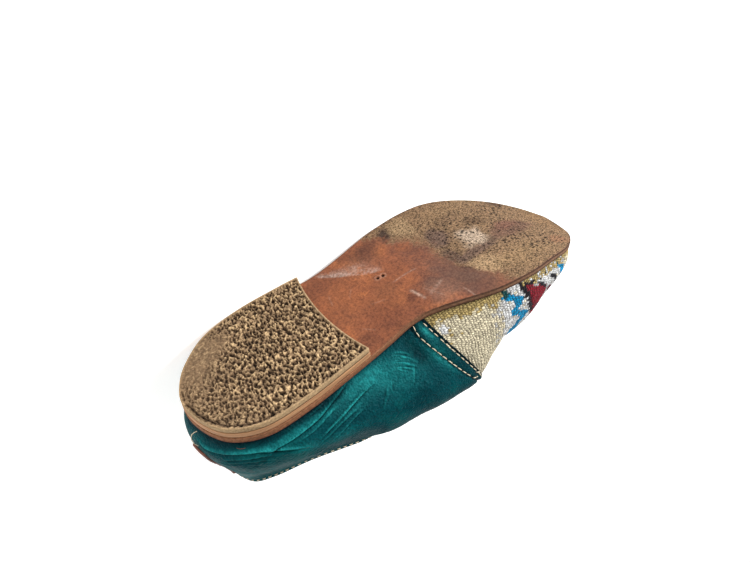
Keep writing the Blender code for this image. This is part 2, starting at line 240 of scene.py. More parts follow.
# %% The wall of the upper
def wall_points(around, height):
    """Points of the upper's outside, standing, in millimetres.

    around is the place round the shoe: 0 toe, 0.25 inner waist, 0.5 heel, 0.75 outer waist. Each column
    is a cubic Bezier curve: foot (1-t)^3 + 3 low t(1-t)^2 + 3 high t^2(1-t) + crown t^3, with t = height.
    Between the inner band and the heel the collar has stretched outwards and its edge has rolled in.
    """
    turn = around % 1.0
    foot_xy = [np.interp(turn, TURNS, np.append(FEATHER[:, k], FEATHER[0, k])) for k in (0, 1)]
    side_xy = [np.interp(turn, TURNS, np.append(FEATHER_SIDE[:, k], FEATHER_SIDE[0, k])) for k in (0, 1)]
    foot = np.stack([*foot_xy, under_sole_z(foot_xy[0]) + OUTSOLE_THICKNESS + GAP], axis=-1)
    out = np.stack([*side_xy, np.zeros_like(turn)], axis=-1)
    folded = np.minimum(turn, 1.0 - turn)
    crown = np.stack(
        [np.where(folded <= THROAT, read_ridge(folded, k), read_collar(turn, k)) for k in (1, 2, 3)], axis=-1
    )
    pull_out, rise, reach, ahead, drop = (read_wall(turn, k)[..., None] for k in range(1, 6))
    up, forward = np.array([0.0, 0.0, 1.0]), np.array([1.0, 0.0, 0.0])
    low = foot + out * pull_out + up * rise
    high = crown + out * reach + forward * ahead - up * drop
    t = height[..., None]
    wall = foot * (1 - t) ** 3 + 3 * low * t * (1 - t) ** 2 + 3 * high * t**2 * (1 - t) + crown * t**3
    curls = smoothstep(0.242, 0.262, turn) * (1.0 - smoothstep(0.352, 0.380, turn))
    pushed = COLLAR_BULGE * smoothstep(0.45, 0.90, t) - COLLAR_ROLL * smoothstep(0.91, 1.0, t)
    return wall + out * curls[..., None] * pushed


def wall_normals(around, height):
    """Unit normals of the wall: the cross product of its directions round the shoe and upwards."""
    step = 0.0015
    along = wall_points(around + step, height) - wall_points(around - step, height)
    upward = wall_points(around, np.minimum(height + 0.01, 1.0)) - wall_points(
        around, np.maximum(height - 0.01, 0.0)
    )
    normal = np.cross(along, upward)
    return normal / np.linalg.norm(normal, axis=-1)[..., None]


def run_length(points, axis):
    """How far each point of a grid lies from the first one along an axis, following the surface."""
    step = np.linalg.norm(np.diff(points, axis=axis), axis=-1)
    start = np.zeros_like(np.take(step, [0], axis=axis))
    return np.concatenate([start, np.cumsum(step, axis=axis)], axis=axis)


stood = solid_points("outsole")
ORIGIN = np.array(
    [
        stood[:, 0].min() - OUTLINE[:, 0].min(),
        stood[:, 1].max() - OUTLINE[:, 1].max(),
        solid_points("heel_top_piece")[:, 2].min(),
    ]
)
print("standing origin, turned back:", ORIGIN.round(2), "mm")


def to_lying(points):
    """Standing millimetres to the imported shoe's metres."""
    return (np.asarray(points) + ORIGIN) @ TURN.T * MM


# %% [markdown]
# ## Noise and marks as arrays
#
# Nothing worn is even. A few small functions give all of the unevenness below: a smooth random field, a
# field of cells, the distance to a line through given points and a soft round mark. They work on whole arrays
# and are seeded by their place, so each run gives the same shoe.


# %% Random fields and distances
def hashed(i, j, seed):
    """A fixed random number from 0 to 1 for each whole-number place (i, j)."""
    mixed = i.astype(np.int64) * 374761393 + j.astype(np.int64) * 668265263 + seed * 1442695041
    mixed = (mixed ^ (mixed >> 13)) * 1274126177 & 0x7FFFFFFF
    mixed = (mixed ^ (mixed >> 15)) * 2246822519 & 0x7FFFFFFF
    return (mixed ^ (mixed >> 12)) / 0x7FFFFFFF


def soft_noise(x, y, size, seed=1, octaves=1):
    """Values from -1 to 1 at the corners of squares of a size, eased between; octaves add finer ones."""
    total = np.zeros(np.broadcast(x, y).shape)
    weight = 1.0
    for k in range(octaves):
        u, v = x / size * 2**k, y / size * 2**k
        i, j = np.floor(u), np.floor(v)
        fu, fv = smoothstep(0.0, 1.0, u - i), smoothstep(0.0, 1.0, v - j)
        corner = [hashed(i + a, j + b, seed + k) for a, b in ((0, 0), (1, 0), (0, 1), (1, 1))]
        low = corner[0] * (1 - fu) + corner[1] * fu
        high = corner[2] * (1 - fu) + corner[3] * fu
        total += weight * (2 * (low * (1 - fv) + high * fv) - 1)
        weight *= 0.5
    return total


def cell_distance(x, y, size, seed=1):
    """Distance to the nearest of points scattered one to a square, as a share of the square's side."""
    u, v = x / size, y / size
    i, j = np.floor(u), np.floor(v)
    nearest = np.full(u.shape, 9.0)
    for a in (-1, 0, 1):
        for b in (-1, 0, 1):
            px = i + a + hashed(i + a, j + b, seed)
            py = j + b + hashed(i + a, j + b, seed + 7)
            nearest = np.minimum(nearest, np.hypot(u - px, v - py))
    return nearest


def beside_path(x, y, path):
    """Distance to a line through given points, which side of it, and how far along it, 0 to 1."""
    path = smooth_path(path, 24)
    best = np.full(x.shape, 1e9)
    side = np.zeros(x.shape)
    share = np.zeros(x.shape)
    for k, (start, end) in enumerate(zip(path, path[1:])):
        dx, dy = end - start
        t = np.clip(((x - start[0]) * dx + (y - start[1]) * dy) / (dx * dx + dy * dy), 0.0, 1.0)
        away_x, away_y = x - start[0] - t * dx, y - start[1] - t * dy
        away = np.hypot(away_x, away_y)
        closer = away < best
        best = np.where(closer, away, best)
        side = np.where(closer, np.sign(dx * away_y - dy * away_x), side)
        share = np.where(closer, (k + t) / (len(path) - 1), share)
    return best, side, share


def blot(x, y, at_x, at_y, wide, long, turn=0.0):
    """A soft round mark: exp(-r^2) of the distance in its own turned and stretched frame."""
    c, s = math.cos(math.radians(turn)), math.sin(math.radians(turn))
    u = ((x - at_x) * c + (y - at_y) * s) / wide
    v = ((y - at_y) * c - (x - at_x) * s) / long
    return np.exp(-(u * u + v * v))


# %% [markdown]
# ## Meshes from grids
#
# A sheet of leather or cloth is a grid of points for its face, a second, coarser one for its back, and
# rows of faces that close it all round. A thick slab, such as a sole, is a fine grid for its underside, a
# few rings for its rounded edge, and a ladder of long faces for the top that nobody sees.


# %% Mesh makers
def make_mesh(name, points, faces, material, marks=None, cloth=None):
    """A mesh object from standing points and lists of corners; marks are one value or colour a point."""
    mesh = bpy.data.meshes.new(name)
    mesh.from_pydata(to_lying(points).tolist(), [], faces)
    mesh.shade_smooth()
    for key, values in (marks or {}).items():
        kind, field = ("FLOAT_COLOR", "color") if values.ndim == 2 else ("FLOAT", "value")
        if values.ndim == 2:
            values = np.column_stack([values, np.ones(len(values))])
        mesh.attributes.new(key, kind, "POINT").data.foreach_set(field, values.astype(np.float32).ravel())
    if cloth is not None:
        corners = np.empty(len(mesh.loops), np.int32)
        mesh.loops.foreach_get("vertex_index", corners)
        mesh.uv_layers.new(name="cloth").data.foreach_set("uv", cloth[corners].astype(np.float32).ravel())
    mesh.materials.append(material)
    made = bpy.data.objects.new(name, mesh)
    bpy.context.scene.collection.objects.link(made)
    triangles = sum(len(face) - 2 for face in faces)
    print(f"{name}: {triangles} triangles")
    return made


def quads(lower, upper):
    """Faces between two rows of point numbers, whose outside is on the right of lower's direction."""
    return np.column_stack([lower[:-1], lower[1:], upper[1:], upper[:-1]]).tolist()


def sheet_faces(face, back, ridge=None, closed=False, levels=None):
    """Faces of a sheet of two grids of point numbers: face, back, and the rims that join them.

    ridge says which columns end on the ridge; there both grids are welded to their mirrored columns.
    levels gives the heights of the face's and of the back's rows, so that open ends can be zipped shut.
    """
    if ridge is not None:
        for grid in (face, back):
            half = len(grid) // 2
            mirrored = grid[::-1, -1]
            grid[:half, -1] = np.where(ridge[:half], mirrored[:half], grid[:half, -1])
    if closed:
        face, back = (np.vstack([grid, grid[:1]]) for grid in (face, back))
        ridge = None if ridge is None else np.append(ridge, ridge[0])
    faces = []
    for k in range(face.shape[1] - 1):
        faces += quads(face[:, k], face[:, k + 1])
    for k in range(back.shape[1] - 1):
        faces += quads(back[::-1, k], back[::-1, k + 1])
    faces += quads(back[:, 0], face[:, 0])
    rim = quads(face[:, -1], back[:, -1])
    if ridge is not None:
        on_ridge = ridge[:-1] & ridge[1:]
        rim = [corners for corners, skip in zip(rim, on_ridge) if not skip]
    faces += rim
    if not closed:
        fine, coarse = levels or (np.linspace(0, 1, face.shape[1]), np.linspace(0, 1, back.shape[1]))
        near = np.interp(fine, coarse, np.arange(len(coarse))).round().astype(int)
        for k, (a, b) in enumerate(zip(near, near[1:])):
            first = [face[0, k], face[0, k + 1], back[0, b]] + ([back[0, a]] if a != b else [])
            last = [face[-1, k + 1], face[-1, k], back[-1, a]] + ([back[-1, b]] if a != b else [])
            faces += [[int(corner) for corner in first], [int(corner) for corner in last]]
    return faces


def sheet(name, face, back, material, marks=None, cloth=None, ridge=None, closed=False, levels=None):
    """A sheet's object from the grids of points of its face and of its back."""
    face_numbers = np.arange(face.size // 3).reshape(face.shape[:2])
    back_numbers = np.arange(back.size // 3).reshape(back.shape[:2]) + face_numbers.size
    points = np.vstack([face.reshape(-1, 3), back.reshape(-1, 3)])
    faces = sheet_faces(face_numbers, back_numbers, ridge, closed, levels)
    return make_mesh(name, points, faces, material, marks, cloth)


# %% [markdown]
# ## Nodes and colours
#
# Every colour below is an sRGB hex value, as a dye book gives it, turned to the linear light that the
# shader wants. One helper adds a node, sets it and links it. A pattern's scale is one over its real size.


# %% Colour and node helpers
def linear(hex_colour):
    """sRGB hex to linear: c/12.92 below 0.04045, ((c+0.055)/1.055)^2.4 above."""
    srgb = [int(hex_colour[k:k + 2], 16) / 255 for k in (1, 3, 5)]
    return tuple(c / 12.92 if c <= 0.04045 else ((c + 0.055) / 1.055) ** 2.4 for c in srgb)


def rgba(hex_colour):
    return (*linear(hex_colour), 1.0)


def fill(target, inputs):
    """Gives each of a node's sockets a value, or a link from another node's output."""
    for key, value in inputs.items():
        if isinstance(value, bpy.types.NodeSocket):
            target.id_data.links.new(value, target.inputs[key])
        else:
            target.inputs[key].default_value = value


def node(material, kind, inputs=None, stops=None, **settings):
    """Adds a shader node; inputs gives each socket a value or another node's output; stops fill a ramp."""
    made = material.node_tree.nodes.new("ShaderNode" + kind)
    for key, value in settings.items():
        setattr(made, key, value)
    fill(made, inputs or {})
    for k, (place, colour) in enumerate(stops or ()):
        ramp = made.color_ramp.elements
        stop = ramp[k] if k < 2 else ramp.new(place)
        stop.position = place
        stop.color = colour if isinstance(colour, tuple) else (colour, colour, colour, 1.0)
    return made


def start_material(name):
    """An empty material with its shader, ready for links, and the object's own coordinates."""
    material = bpy.data.materials.new(name)
    material.use_nodes = True
    shader = material.node_tree.nodes["Principled BSDF"]
    place = node(material, "TexCoord").outputs["Object"]
    return material, shader, place


def per(size_mm):
    """A texture's scale for features of a real size, on coordinates in metres."""
    return 1.0 / (size_mm * MM)


MIX_A, MIX_B, MIX_RESULT = 6, 7, 2


# %% [markdown]
# ## Finish: green leather
#
# The quarters are soft goat leather, dyed through in deep teal and finished by hand with a little wax. To
# the eye it is a dark blue-green, with shade painted into its creases, folds and hollows, and a lighter green
# of painted highlights and of places that were rubbed or stretched, with a fine pebbled grain of about half a
# millimetre and a broken, satiny shine.


# %% Green leather
def green_leather():
    material, shader, place = start_material("waxed_goat_leather_teal")
    cloud = node(
        material, "TexNoise", {"Vector": place, "Scale": per(26), "Detail": 5.0, "Roughness": 0.62}
    )
    streak = node(
        material, "TexNoise", {"Vector": place, "Scale": per(7), "Detail": 4.0, "Distortion": 0.8}
    )
    base = node(
        material, "ValToRGB", {"Fac": cloud.outputs["Fac"]},
        stops=((0.32, rgba("#011F28")), (0.70, rgba("#024546")), (0.52, rgba("#013138"))),
    )
    # light carries painted highlights and rubbed wax; dark carries painted shade in creases, folds, hollows
    # and along the sole, and the band's darker edges
    light = node(material, "Attribute", attribute_name="light").outputs["Fac"]
    dark = node(material, "Attribute", attribute_name="dark").outputs["Fac"]
    broken = node(material, "MapRange", {"Value": streak.outputs["Fac"], 1: 0.3, 2: 0.7, 3: 0.72, 4: 1.15})
    specks = node(
        material, "TexNoise", {"Vector": place, "Scale": per(1.4), "Detail": 5.0, "Roughness": 0.7}
    )
    speckled = node(
        material, "MapRange", {"Value": specks.outputs["Fac"], 1: 0.38, 2: 0.62, 3: 0.60, 4: 1.25}
    )
    light_broken = node(material, "Math", {0: light, 1: broken.outputs[0]}, operation="MULTIPLY")
    light_amount = node(
        material, "Math", {0: light_broken.outputs[0], 1: speckled.outputs[0]},
        operation="MULTIPLY", use_clamp=True
    )
    lighter = node(
        material, "Mix", {0: light_amount.outputs[0], MIX_A: base.outputs[0], MIX_B: rgba("#228A8A")},
        data_type="RGBA",
    )
    darker = node(
        material, "Mix", {0: dark, MIX_A: lighter.outputs[MIX_RESULT], MIX_B: rgba("#01161C")},
        data_type="RGBA"
    )
    shine = node(material, "MapRange", {"Value": streak.outputs["Fac"], 1: 0.3, 2: 0.7, 3: 0.36, 4: 0.55})
    pebbles = node(
        material, "TexVoronoi", {"Vector": place, "Scale": per(1.2), "Randomness": 1.0}, feature="F1"
    )
    wrinkle = node(
        material, "TexNoise", {"Vector": place, "Scale": per(2.2), "Detail": 6.0, "Distortion": 1.2}
    )
    grain = node(
        material, "Math", {0: pebbles.outputs["Distance"], 1: wrinkle.outputs["Fac"]}, operation="ADD"
    )
    bump = node(material, "Bump", {"Height": grain.outputs[0], "Strength": 1.0, "Distance": 0.55 * MM})
    fill(shader, {
        "Base Color": darker.outputs[MIX_RESULT], "Roughness": shine.outputs[0], "IOR": 1.45,
        "Specular IOR Level": 0.03, "Normal": bump.outputs[0],
    })
    return material


GREEN = green_leather()

# %% [markdown]
# ## Finish: kilim wool
#
# The vamp is cut from a kilim, a weft-faced rug of coarse wool. Each pass of yarn shows as a row of small
# beads, matt and a little hairy. The yarn's colour comes with the mesh, because it is charted bead by bead.
# The material adds painted shade in the gaps between beads and a painted highlight on their tops, drawn
# on the cloth's own map, and the heathered look of hand-dyed wool, its fibres and its soft sheen.


# %% Kilim wool
def kilim_wool():
    material, shader, place = start_material("kilim_wool_yarn")
    yarn = node(material, "Attribute", attribute_name="yarn").outputs["Color"]
    wobble = node(material, "TexNoise", {"Vector": place, "Scale": per(2.4), "Detail": 3.0})
    laid = node(material, "UVMap", uv_map="cloth").outputs["UV"]
    bent = node(
        material, "VectorMath", {0: wobble.outputs["Color"], 1: (1.9, 1.6, 0.0), 2: laid},
        operation="MULTIPLY_ADD"
    )
    centred = node(material, "VectorMath", {0: bent.outputs[0], 1: (0.95, 0.8, 0.0)}, operation="SUBTRACT")
    cloth = node(material, "SeparateXYZ", {0: centred.outputs[0]})
    column = node(material, "Math", {0: cloth.outputs["X"]}, operation="FLOOR")
    odd = node(material, "Math", {0: column.outputs[0], 1: 2.0}, operation="MODULO")
    up = node(
        material, "Math", {0: odd.outputs[0], 1: 0.5, 2: cloth.outputs["Y"]}, operation="MULTIPLY_ADD"
    )
    row = node(material, "Math", {0: up.outputs[0]}, operation="FLOOR")
    waves = []
    for along in (cloth.outputs["X"], up.outputs[0]):
        share = node(material, "Math", {0: along}, operation="FRACT")
        angle = node(material, "Math", {0: share.outputs[0], 1: math.pi}, operation="MULTIPLY")
        waves.append(node(material, "Math", {0: angle.outputs[0]}, operation="SINE").outputs[0])
    product = node(material, "Math", {0: waves[0], 1: waves[1]}, operation="MULTIPLY")
    pillow = node(material, "Math", {0: product.outputs[0], 1: 0.6}, operation="POWER")
    bead = node(material, "CombineXYZ", {0: column.outputs[0], 1: row.outputs[0]})
    own = node(material, "TexWhiteNoise", {"Vector": bead.outputs[0]}, noise_dimensions="2D")
    own_tone = node(material, "MapRange", {"Value": own.outputs["Value"], 1: 0.0, 2: 1.0, 3: 0.76, 4: 1.24})
    heather = node(material, "TexNoise", {"Vector": place, "Scale": per(1.3), "Detail": 4.0})
    fibres = node(
        material, "TexNoise", {"Vector": place, "Scale": per(0.35), "Detail": 3.0, "Distortion": 0.6}
    )
    tone = node(material, "MapRange", {"Value": heather.outputs["Fac"], 1: 0.25, 2: 0.75, 3: 0.72, 4: 1.18})
    # painted shade in the gaps between beads and a painted highlight on their tops
    shade = node(material, "MapRange", {"Value": pillow.outputs[0], 1: 0.08, 2: 0.82, 3: 0.24, 4: 1.14})
    both = node(material, "Math", {0: tone.outputs[0], 1: shade.outputs[0]}, operation="MULTIPLY")
    all_three = node(material, "Math", {0: both.outputs[0], 1: own_tone.outputs[0]}, operation="MULTIPLY")
    coloured = node(material, "VectorMath", {0: yarn, 1: all_three.outputs[0]}, operation="MULTIPLY")
    raised = node(
        material, "Math", {0: fibres.outputs["Fac"], 1: 0.5, 2: pillow.outputs[0]}, operation="MULTIPLY_ADD"
    )
    bump = node(material, "Bump", {"Height": raised.outputs[0], "Strength": 0.9, "Distance": 0.5 * MM})
    fill(shader, {
        "Base Color": coloured.outputs[0], "Roughness": 0.92, "Sheen Weight": 0.06, "Sheen Roughness": 0.5,
        "Specular IOR Level": 0.08, "Normal": bump.outputs[0],
    })
    return material


WOOL = kilim_wool()

# %% [markdown]
# ## Finish: sole leather
#
# The outsole is vegetable-tanned cow leather. Under the waist it is still burnished, orange-brown and
# half glossy, with mottling and pale scuffs. Under the ball and toes walking has raised a suede-like nap,
# beige to grey, pricked with dark specks. How worn each place is comes with the mesh, from marks listed
# in the sole's own millimetres.


# %% Sole leather
def sole_leather():
    material, shader, place = start_material("vegetable_tanned_sole_leather")
    cloud = node(material, "TexNoise", {"Vector": place, "Scale": per(20), "Detail": 6.0, "Roughness": 0.6})
    mottle = node(
        material, "TexNoise", {"Vector": place, "Scale": per(1.4), "Detail": 5.0, "Roughness": 0.78}
    )
    burnished = node(
        material, "ValToRGB", {"Fac": cloud.outputs["Fac"]},
        stops=((0.34, rgba("#5A3424")), (0.72, rgba("#945833")), (0.54, rgba("#7C472C"))),
    )
    speckle = node(
        material, "MapRange", {"Value": mottle.outputs["Fac"], 1: 0.38, 2: 0.62, 3: 0.55, 4: 1.32}
    )
    mottled = node(
        material, "VectorMath", {0: burnished.outputs[0], 1: speckle.outputs[0]}, operation="MULTIPLY"
    )
    fine_lines = node(material, "Mapping", {"Vector": place, "Scale": (0.55, 1.0, 1.0)})
    hair = node(
        material, "TexNoise",
        {"Vector": fine_lines.outputs[0], "Scale": per(0.85), "Detail": 5.0, "Roughness": 0.85}
    )
    tint = node(material, "Attribute", attribute_name="tint")
    amount = node(material, "Attribute", attribute_name="tinted").outputs["Fac"]
    nap_tone = node(
        material, "MapRange", {"Value": hair.outputs["Fac"], 1: 0.41, 2: 0.59, 3: 0.14, 4: 1.24}
    )
    nap_height = node(material, "Attribute", attribute_name="nap").outputs["Fac"]
    low_tone = node(
        material, "MapRange", {"Value": mottle.outputs["Fac"], 1: 0.42, 2: 0.58, 3: 0.50, 4: 0.92}
    )
    nap_tone = node(material, "Mix", {0: nap_height, 2: low_tone.outputs[0], 3: nap_tone.outputs[0]})
    grit = node(
        material, "TexVoronoi", {"Vector": place, "Scale": per(2.6), "Randomness": 1.0}, feature="F1"
    )
    speck_size = node(material, "Attribute", attribute_name="specks").outputs["Fac"]
    speck = node(
        material, "Math", {0: grit.outputs["Distance"], 1: speck_size}, operation="SUBTRACT"
    )
    speck_tone = node(material, "MapRange", {"Value": speck.outputs[0], 1: -0.04, 2: 0.04, 3: 0.18, 4: 1.0})
    nap_specked = node(
        material, "Math", {0: nap_tone.outputs[0], 1: speck_tone.outputs[0]}, operation="MULTIPLY"
    )
    nap = node(
        material, "VectorMath", {0: tint.outputs["Color"], 1: nap_specked.outputs[0]}, operation="MULTIPLY"
    )
    coloured = node(
        material, "Mix", {0: amount, MIX_A: mottled.outputs[0], MIX_B: nap.outputs[0]}, data_type="RGBA"
    )
    rough = node(material, "Attribute", attribute_name="rough").outputs["Fac"]
    shine = node(material, "MapRange", {"Value": rough, 1: 0.0, 2: 1.0, 3: 0.40, 4: 0.95})
    fine = node(
        material, "TexNoise", {"Vector": place, "Scale": per(0.7), "Detail": 5.0, "Roughness": 0.75}
    )
    nap_depth = node(material, "MapRange", {"Value": rough, 1: 0.0, 2: 1.0, 3: 0.12, 4: 0.9})
    height = node(material, "Math", {0: fine.outputs["Fac"], 1: nap_depth.outputs[0]}, operation="MULTIPLY")
    bump = node(material, "Bump", {"Height": height.outputs[0], "Strength": 0.8, "Distance": 0.35 * MM})
    fill(shader, {
        "Base Color": coloured.outputs[MIX_RESULT], "Specular IOR Level": 0.15,
        "Roughness": shine.outputs[0], "Normal": bump.outputs[0],
    })
    return material


SOLE = sole_leather()

# %% [markdown]
# ## Finish: crepe rubber, edge leather, lining, thread
#
# Crepe is natural rubber, cast in crumbly sheets: matt and khaki. Its pits are painted almost black, for grit
# and painted shadow, and its crumb tops lighter, a painted highlight. Cut leather edges show fine layers. The
# lining is undyed tan leather, and the thread is thick cream cotton, twisted and slightly waxed.


# %% Crepe, edges, lining and thread
def crepe_rubber():
    material, shader, place = start_material("cast_crepe_rubber")
    depth = node(material, "Attribute", attribute_name="depth").outputs["Fac"]
    crumbs = node(
        material, "TexNoise", {"Vector": place, "Scale": per(1.1), "Detail": 5.0, "Roughness": 0.7}
    )
    cloud = node(material, "TexNoise", {"Vector": place, "Scale": per(18), "Detail": 3.0})
    # the colour follows depth: pits and the groove go almost black, grit and painted shadow, and crumb tops
    # go light, a painted highlight
    by_depth = node(
        material, "ValToRGB", {"Fac": depth},
        stops=((0.0, rgba("#BDA078")), (1.0, rgba("#140C06")),
               (0.30, rgba("#725B43")), (0.58, rgba("#503D2B"))),
    )
    # the fine tone follows the bump's own noise, so the raised crumbs are painted lighter, a painted
    # highlight
    fine_tone = node(
        material, "MapRange", {"Value": crumbs.outputs["Fac"], 1: 0.38, 2: 0.62, 3: 0.66, 4: 1.26}
    )
    broad_tone = node(
        material, "MapRange", {"Value": cloud.outputs["Fac"], 1: 0.3, 2: 0.7, 3: 0.88, 4: 1.1}
    )
    tone = node(material, "Math", {0: fine_tone.outputs[0], 1: broad_tone.outputs[0]}, operation="MULTIPLY")
    toned = node(material, "VectorMath", {0: by_depth.outputs[0], 1: tone.outputs[0]}, operation="MULTIPLY")
    bump = node(material, "Bump", {"Height": crumbs.outputs["Fac"], "Strength": 0.6, "Distance": 0.4 * MM})
    fill(shader, {
        "Base Color": toned.outputs[0], "Specular IOR Level": 0.2, "Roughness": 0.82,
        "Normal": bump.outputs[0],
    })
    return material


def plain_leather(name, light, dark, layer_mm, grain_mm, roughness):
    """Leather in two tones: stretched noise for its layers, and a fine grain in the bump."""
    material, shader, place = start_material(name)
    flattened = node(material, "Mapping", {"Vector": place, "Scale": (1.0, per(layer_mm) / per(24), 1.0)})
    layers = node(
        material, "TexNoise",
        {"Vector": flattened.outputs[0], "Scale": per(24), "Detail": 5.0, "Roughness": 0.7}
    )
    colour = node(
        material, "ValToRGB", {"Fac": layers.outputs["Fac"]},
        stops=((0.35, rgba(dark)), (0.65, rgba(light)))
    )
    grain = node(material, "TexNoise", {"Vector": place, "Scale": per(grain_mm), "Detail": 5.0})
    bump = node(material, "Bump", {"Height": grain.outputs["Fac"], "Strength": 0.5, "Distance": 0.25 * MM})
    fill(shader, {"Base Color": colour.outputs[0], "Roughness": roughness, "Normal": bump.outputs[0]})
    return material


def cotton_thread():
    material, shader, place = start_material("waxed_cotton_thread")
    twist = node(material, "TexNoise", {"Vector": place, "Scale": per(0.5), "Detail": 3.0})
    colour = node(
        material, "ValToRGB", {"Fac": twist.outputs["Fac"]},
        stops=((0.30, rgba("#9C8A6C")), (0.62, rgba("#D8CCB2"))),
    )
    bump = node(material, "Bump", {"Height": twist.outputs["Fac"], "Strength": 0.6, "Distance": 0.2 * MM})
    fill(shader, {"Base Color": colour.outputs[0], "Roughness": 0.7, "Normal": bump.outputs[0]})
    return material


CREPE = crepe_rubber()
LIFT = plain_leather("cut_edge_lift_leather", "#B0835A", "#8C6342", 0.9, 0.8, 0.7)
LINING = plain_leather("undyed_lining_leather", "#B08A60", "#94704C", 12, 0.9, 0.65)
RUSSET = plain_leather("russet_strip_leather", "#6E3A28", "#4A2418", 16, 0.8, 0.6)
THREAD = cotton_thread()

# %% [markdown]
# ## The woven vamp
#
# On the real shoe one piece of kilim covers toes and instep from the band on one side to the band on the
# other. It could be a flat cloth with a bump texture, but its beads are two millimetres long and show in
# the outline, so each one is modelled. The wall's own coordinates give the cloth its grid: along the
# foot, and up from the sole. Each bead is a cell of that grid, raised as a pillow (the product of two
# cosines, each to the power 0.6), jittered a little in height, and takes one colour of yarn.

# %% Grid of the vamp
VAMP_COLUMNS = 568
VAMP_ROWS = 156
UNDER_BAND = 0.0065
SOLE_GIRTH = 640.0
BEAD_ALONG = 1.9
BEAD_UP = 1.45
SIDE_UP = 39.0
BEAD_HEIGHT = 0.55

vamp_share = np.linspace(-1.0, 1.0, VAMP_COLUMNS)
edge_rows = 1.0 - np.array([1.6, 1.1, 0.7, 0.35, 0.1, 0.0]) / 75.0
vamp_height = np.r_[np.linspace(0.0, edge_rows[0], VAMP_ROWS - 5)[:-1], edge_rows]


def band_front(height):
    """The places round the shoe of the quarters' two front edges, at each height."""
    inner = BAND_INNER_TOP + (BAND_INNER_FOOT - BAND_INNER_TOP) * (1.0 - height) ** BAND_INNER_BEND
    return inner, np.full_like(height, BAND_OUTER_FRONT)


def vamp_place(share, height):
    """Columns from under the outer band, share -1, over the ridge to under the inner band, share 1."""
    inner, outer = band_front(height)
    inner_end, outer_end = inner + UNDER_BAND, 1.0 - outer + UNDER_BAND
    over = 0.70
    beyond = (np.abs(share) - over) / (1.0 - over)
    reach = np.where(share > 0, inner_end, outer_end)
    at_side = THROAT + beyond * (reach - THROAT)
    return np.sign(share) * np.where(beyond < 0, np.abs(share) / over * THROAT, at_side)


share, height = np.meshgrid(vamp_share, vamp_height, indexing="ij")
around = vamp_place(share, height)
vamp_base = wall_points(around, height)
on_ridge = np.abs(around[:, 0]) <= THROAT + 1e-6


def ridge_normals(around, height, ridge):
    """The wall's normals, made equal on both sides where two columns meet on the ridge."""
    normal = wall_normals(around, height)
    both = normal[:, -1] + normal[::-1, -1]
    both /= np.linalg.norm(both, axis=-1)[:, None]
    normal[:, -1] = np.where(ridge[:, None], both, normal[:, -1])
    return normal


vamp_normal = ridge_normals(around, height, on_ridge)
up_wall = run_length(vamp_base, 1)
wall_total = up_wall[:, -1:]
along_foot = 290.0 - SOLE_GIRTH * np.abs(around)
# at the sides the yarns stand upright, round the toe they fan out with the foot
upright = smoothstep(0.10, 0.15, np.abs(around))
cloth_x = along_foot * (1.0 - upright) + vamp_base[..., 0] * upright
print("vamp wall lengths", wall_total.min().round(1), "to", wall_total.max().round(1), "mm")

# %% [markdown]
# ## The kilim's chart
#
# The pattern is the traditional kind, cross bands of zigzags, combs and lozenges on undyed wool. It is
# charted in millimetres: x along the foot and w up from the sole, once for each side, and read at
# each bead's middle, which gives the stepped edges of real weaving.

# %% Yarns and chart
YARNS = {
    "cream": "#C4B99E", "white": "#C9C9C8", "grey": "#A3A09A", "ochre": "#A08B5A", "turquoise": "#007CA8",
    "deep_green": "#0B3F40", "black": "#17131A", "red": "#7A0F1F", "plum": "#571B2C",
}
ZIGZAG_INNER = (
    (0, 174), (5, 176.5), (8, 181.5), (11, 187), (13, 187.3), (15, 184.8), (17, 183), (19, 185), (22, 191),
    (25, 192), (28, 190.5), (32, 187.5), (38, 188.5),
)
STRIPE_INNER = ((0, 229), (10, 236.5), (18, 243), (27, 240), (39, 235))
ZIGZAG_OUTER = ((0, 182), (5, 181), (13, 176), (18, 175), (25, 180), (33, 182.5), (40, 184.5))
# yarn, half width, path in (x, w)
STROKES_INNER = (
    ("deep_green", 2.2, ((175.5, 2), (178.5, 4.5))),
    ("black", 1.2, ((189.5, 3), (192.5, 8), (195.5, 14), (197.5, 20), (200, 26))),
    ("black", 1.0, ((190, 3.5), (201, 6.0), (209, 10.5), (216, 16))),
    ("plum", 2.2, ((205, 26), (214, 30), (224, 34))),
    ("black", 1.2, ((221, 9.5), (228, 13), (232, 18), (232.5, 24))),
    ("plum", 2.2, ((223, 20), (231, 27), (238, 32))),
)
STROKES_OUTER = (
    ("black", 1.3, ((189.5, 9), (191.5, 17), (190.5, 24), (192.5, 38))),
    ("black", 1.2, ((191.5, 19), (196, 8))),
    ("deep_green", 2.3, ((196.5, 26), (197, 40))),
    ("black", 1.3, ((201.5, 38), (203, 28), (205, 20))),
    ("black", 1.1, ((198, 22), (200, 14))),
    ("black", 1.2, ((207.5, 38), (206.5, 26))),
    ("black", 1.1, ((206, 11), (210, 18), (213, 11))),
    ("black", 1.2, ((215, 30), (214, 20), (212, 12))),
    ("black", 1.3, ((221, 38), (219, 22), (217, 12))),
    ("black", 1.4, ((226, 38), (225, 22), (223, 10))),
)


def triangle_wave(value, period):
    """Zigzags from -1 to 1 and back over one period."""
    return 4.0 * np.abs(value / period - np.floor(value / period + 0.5)) - 1.0


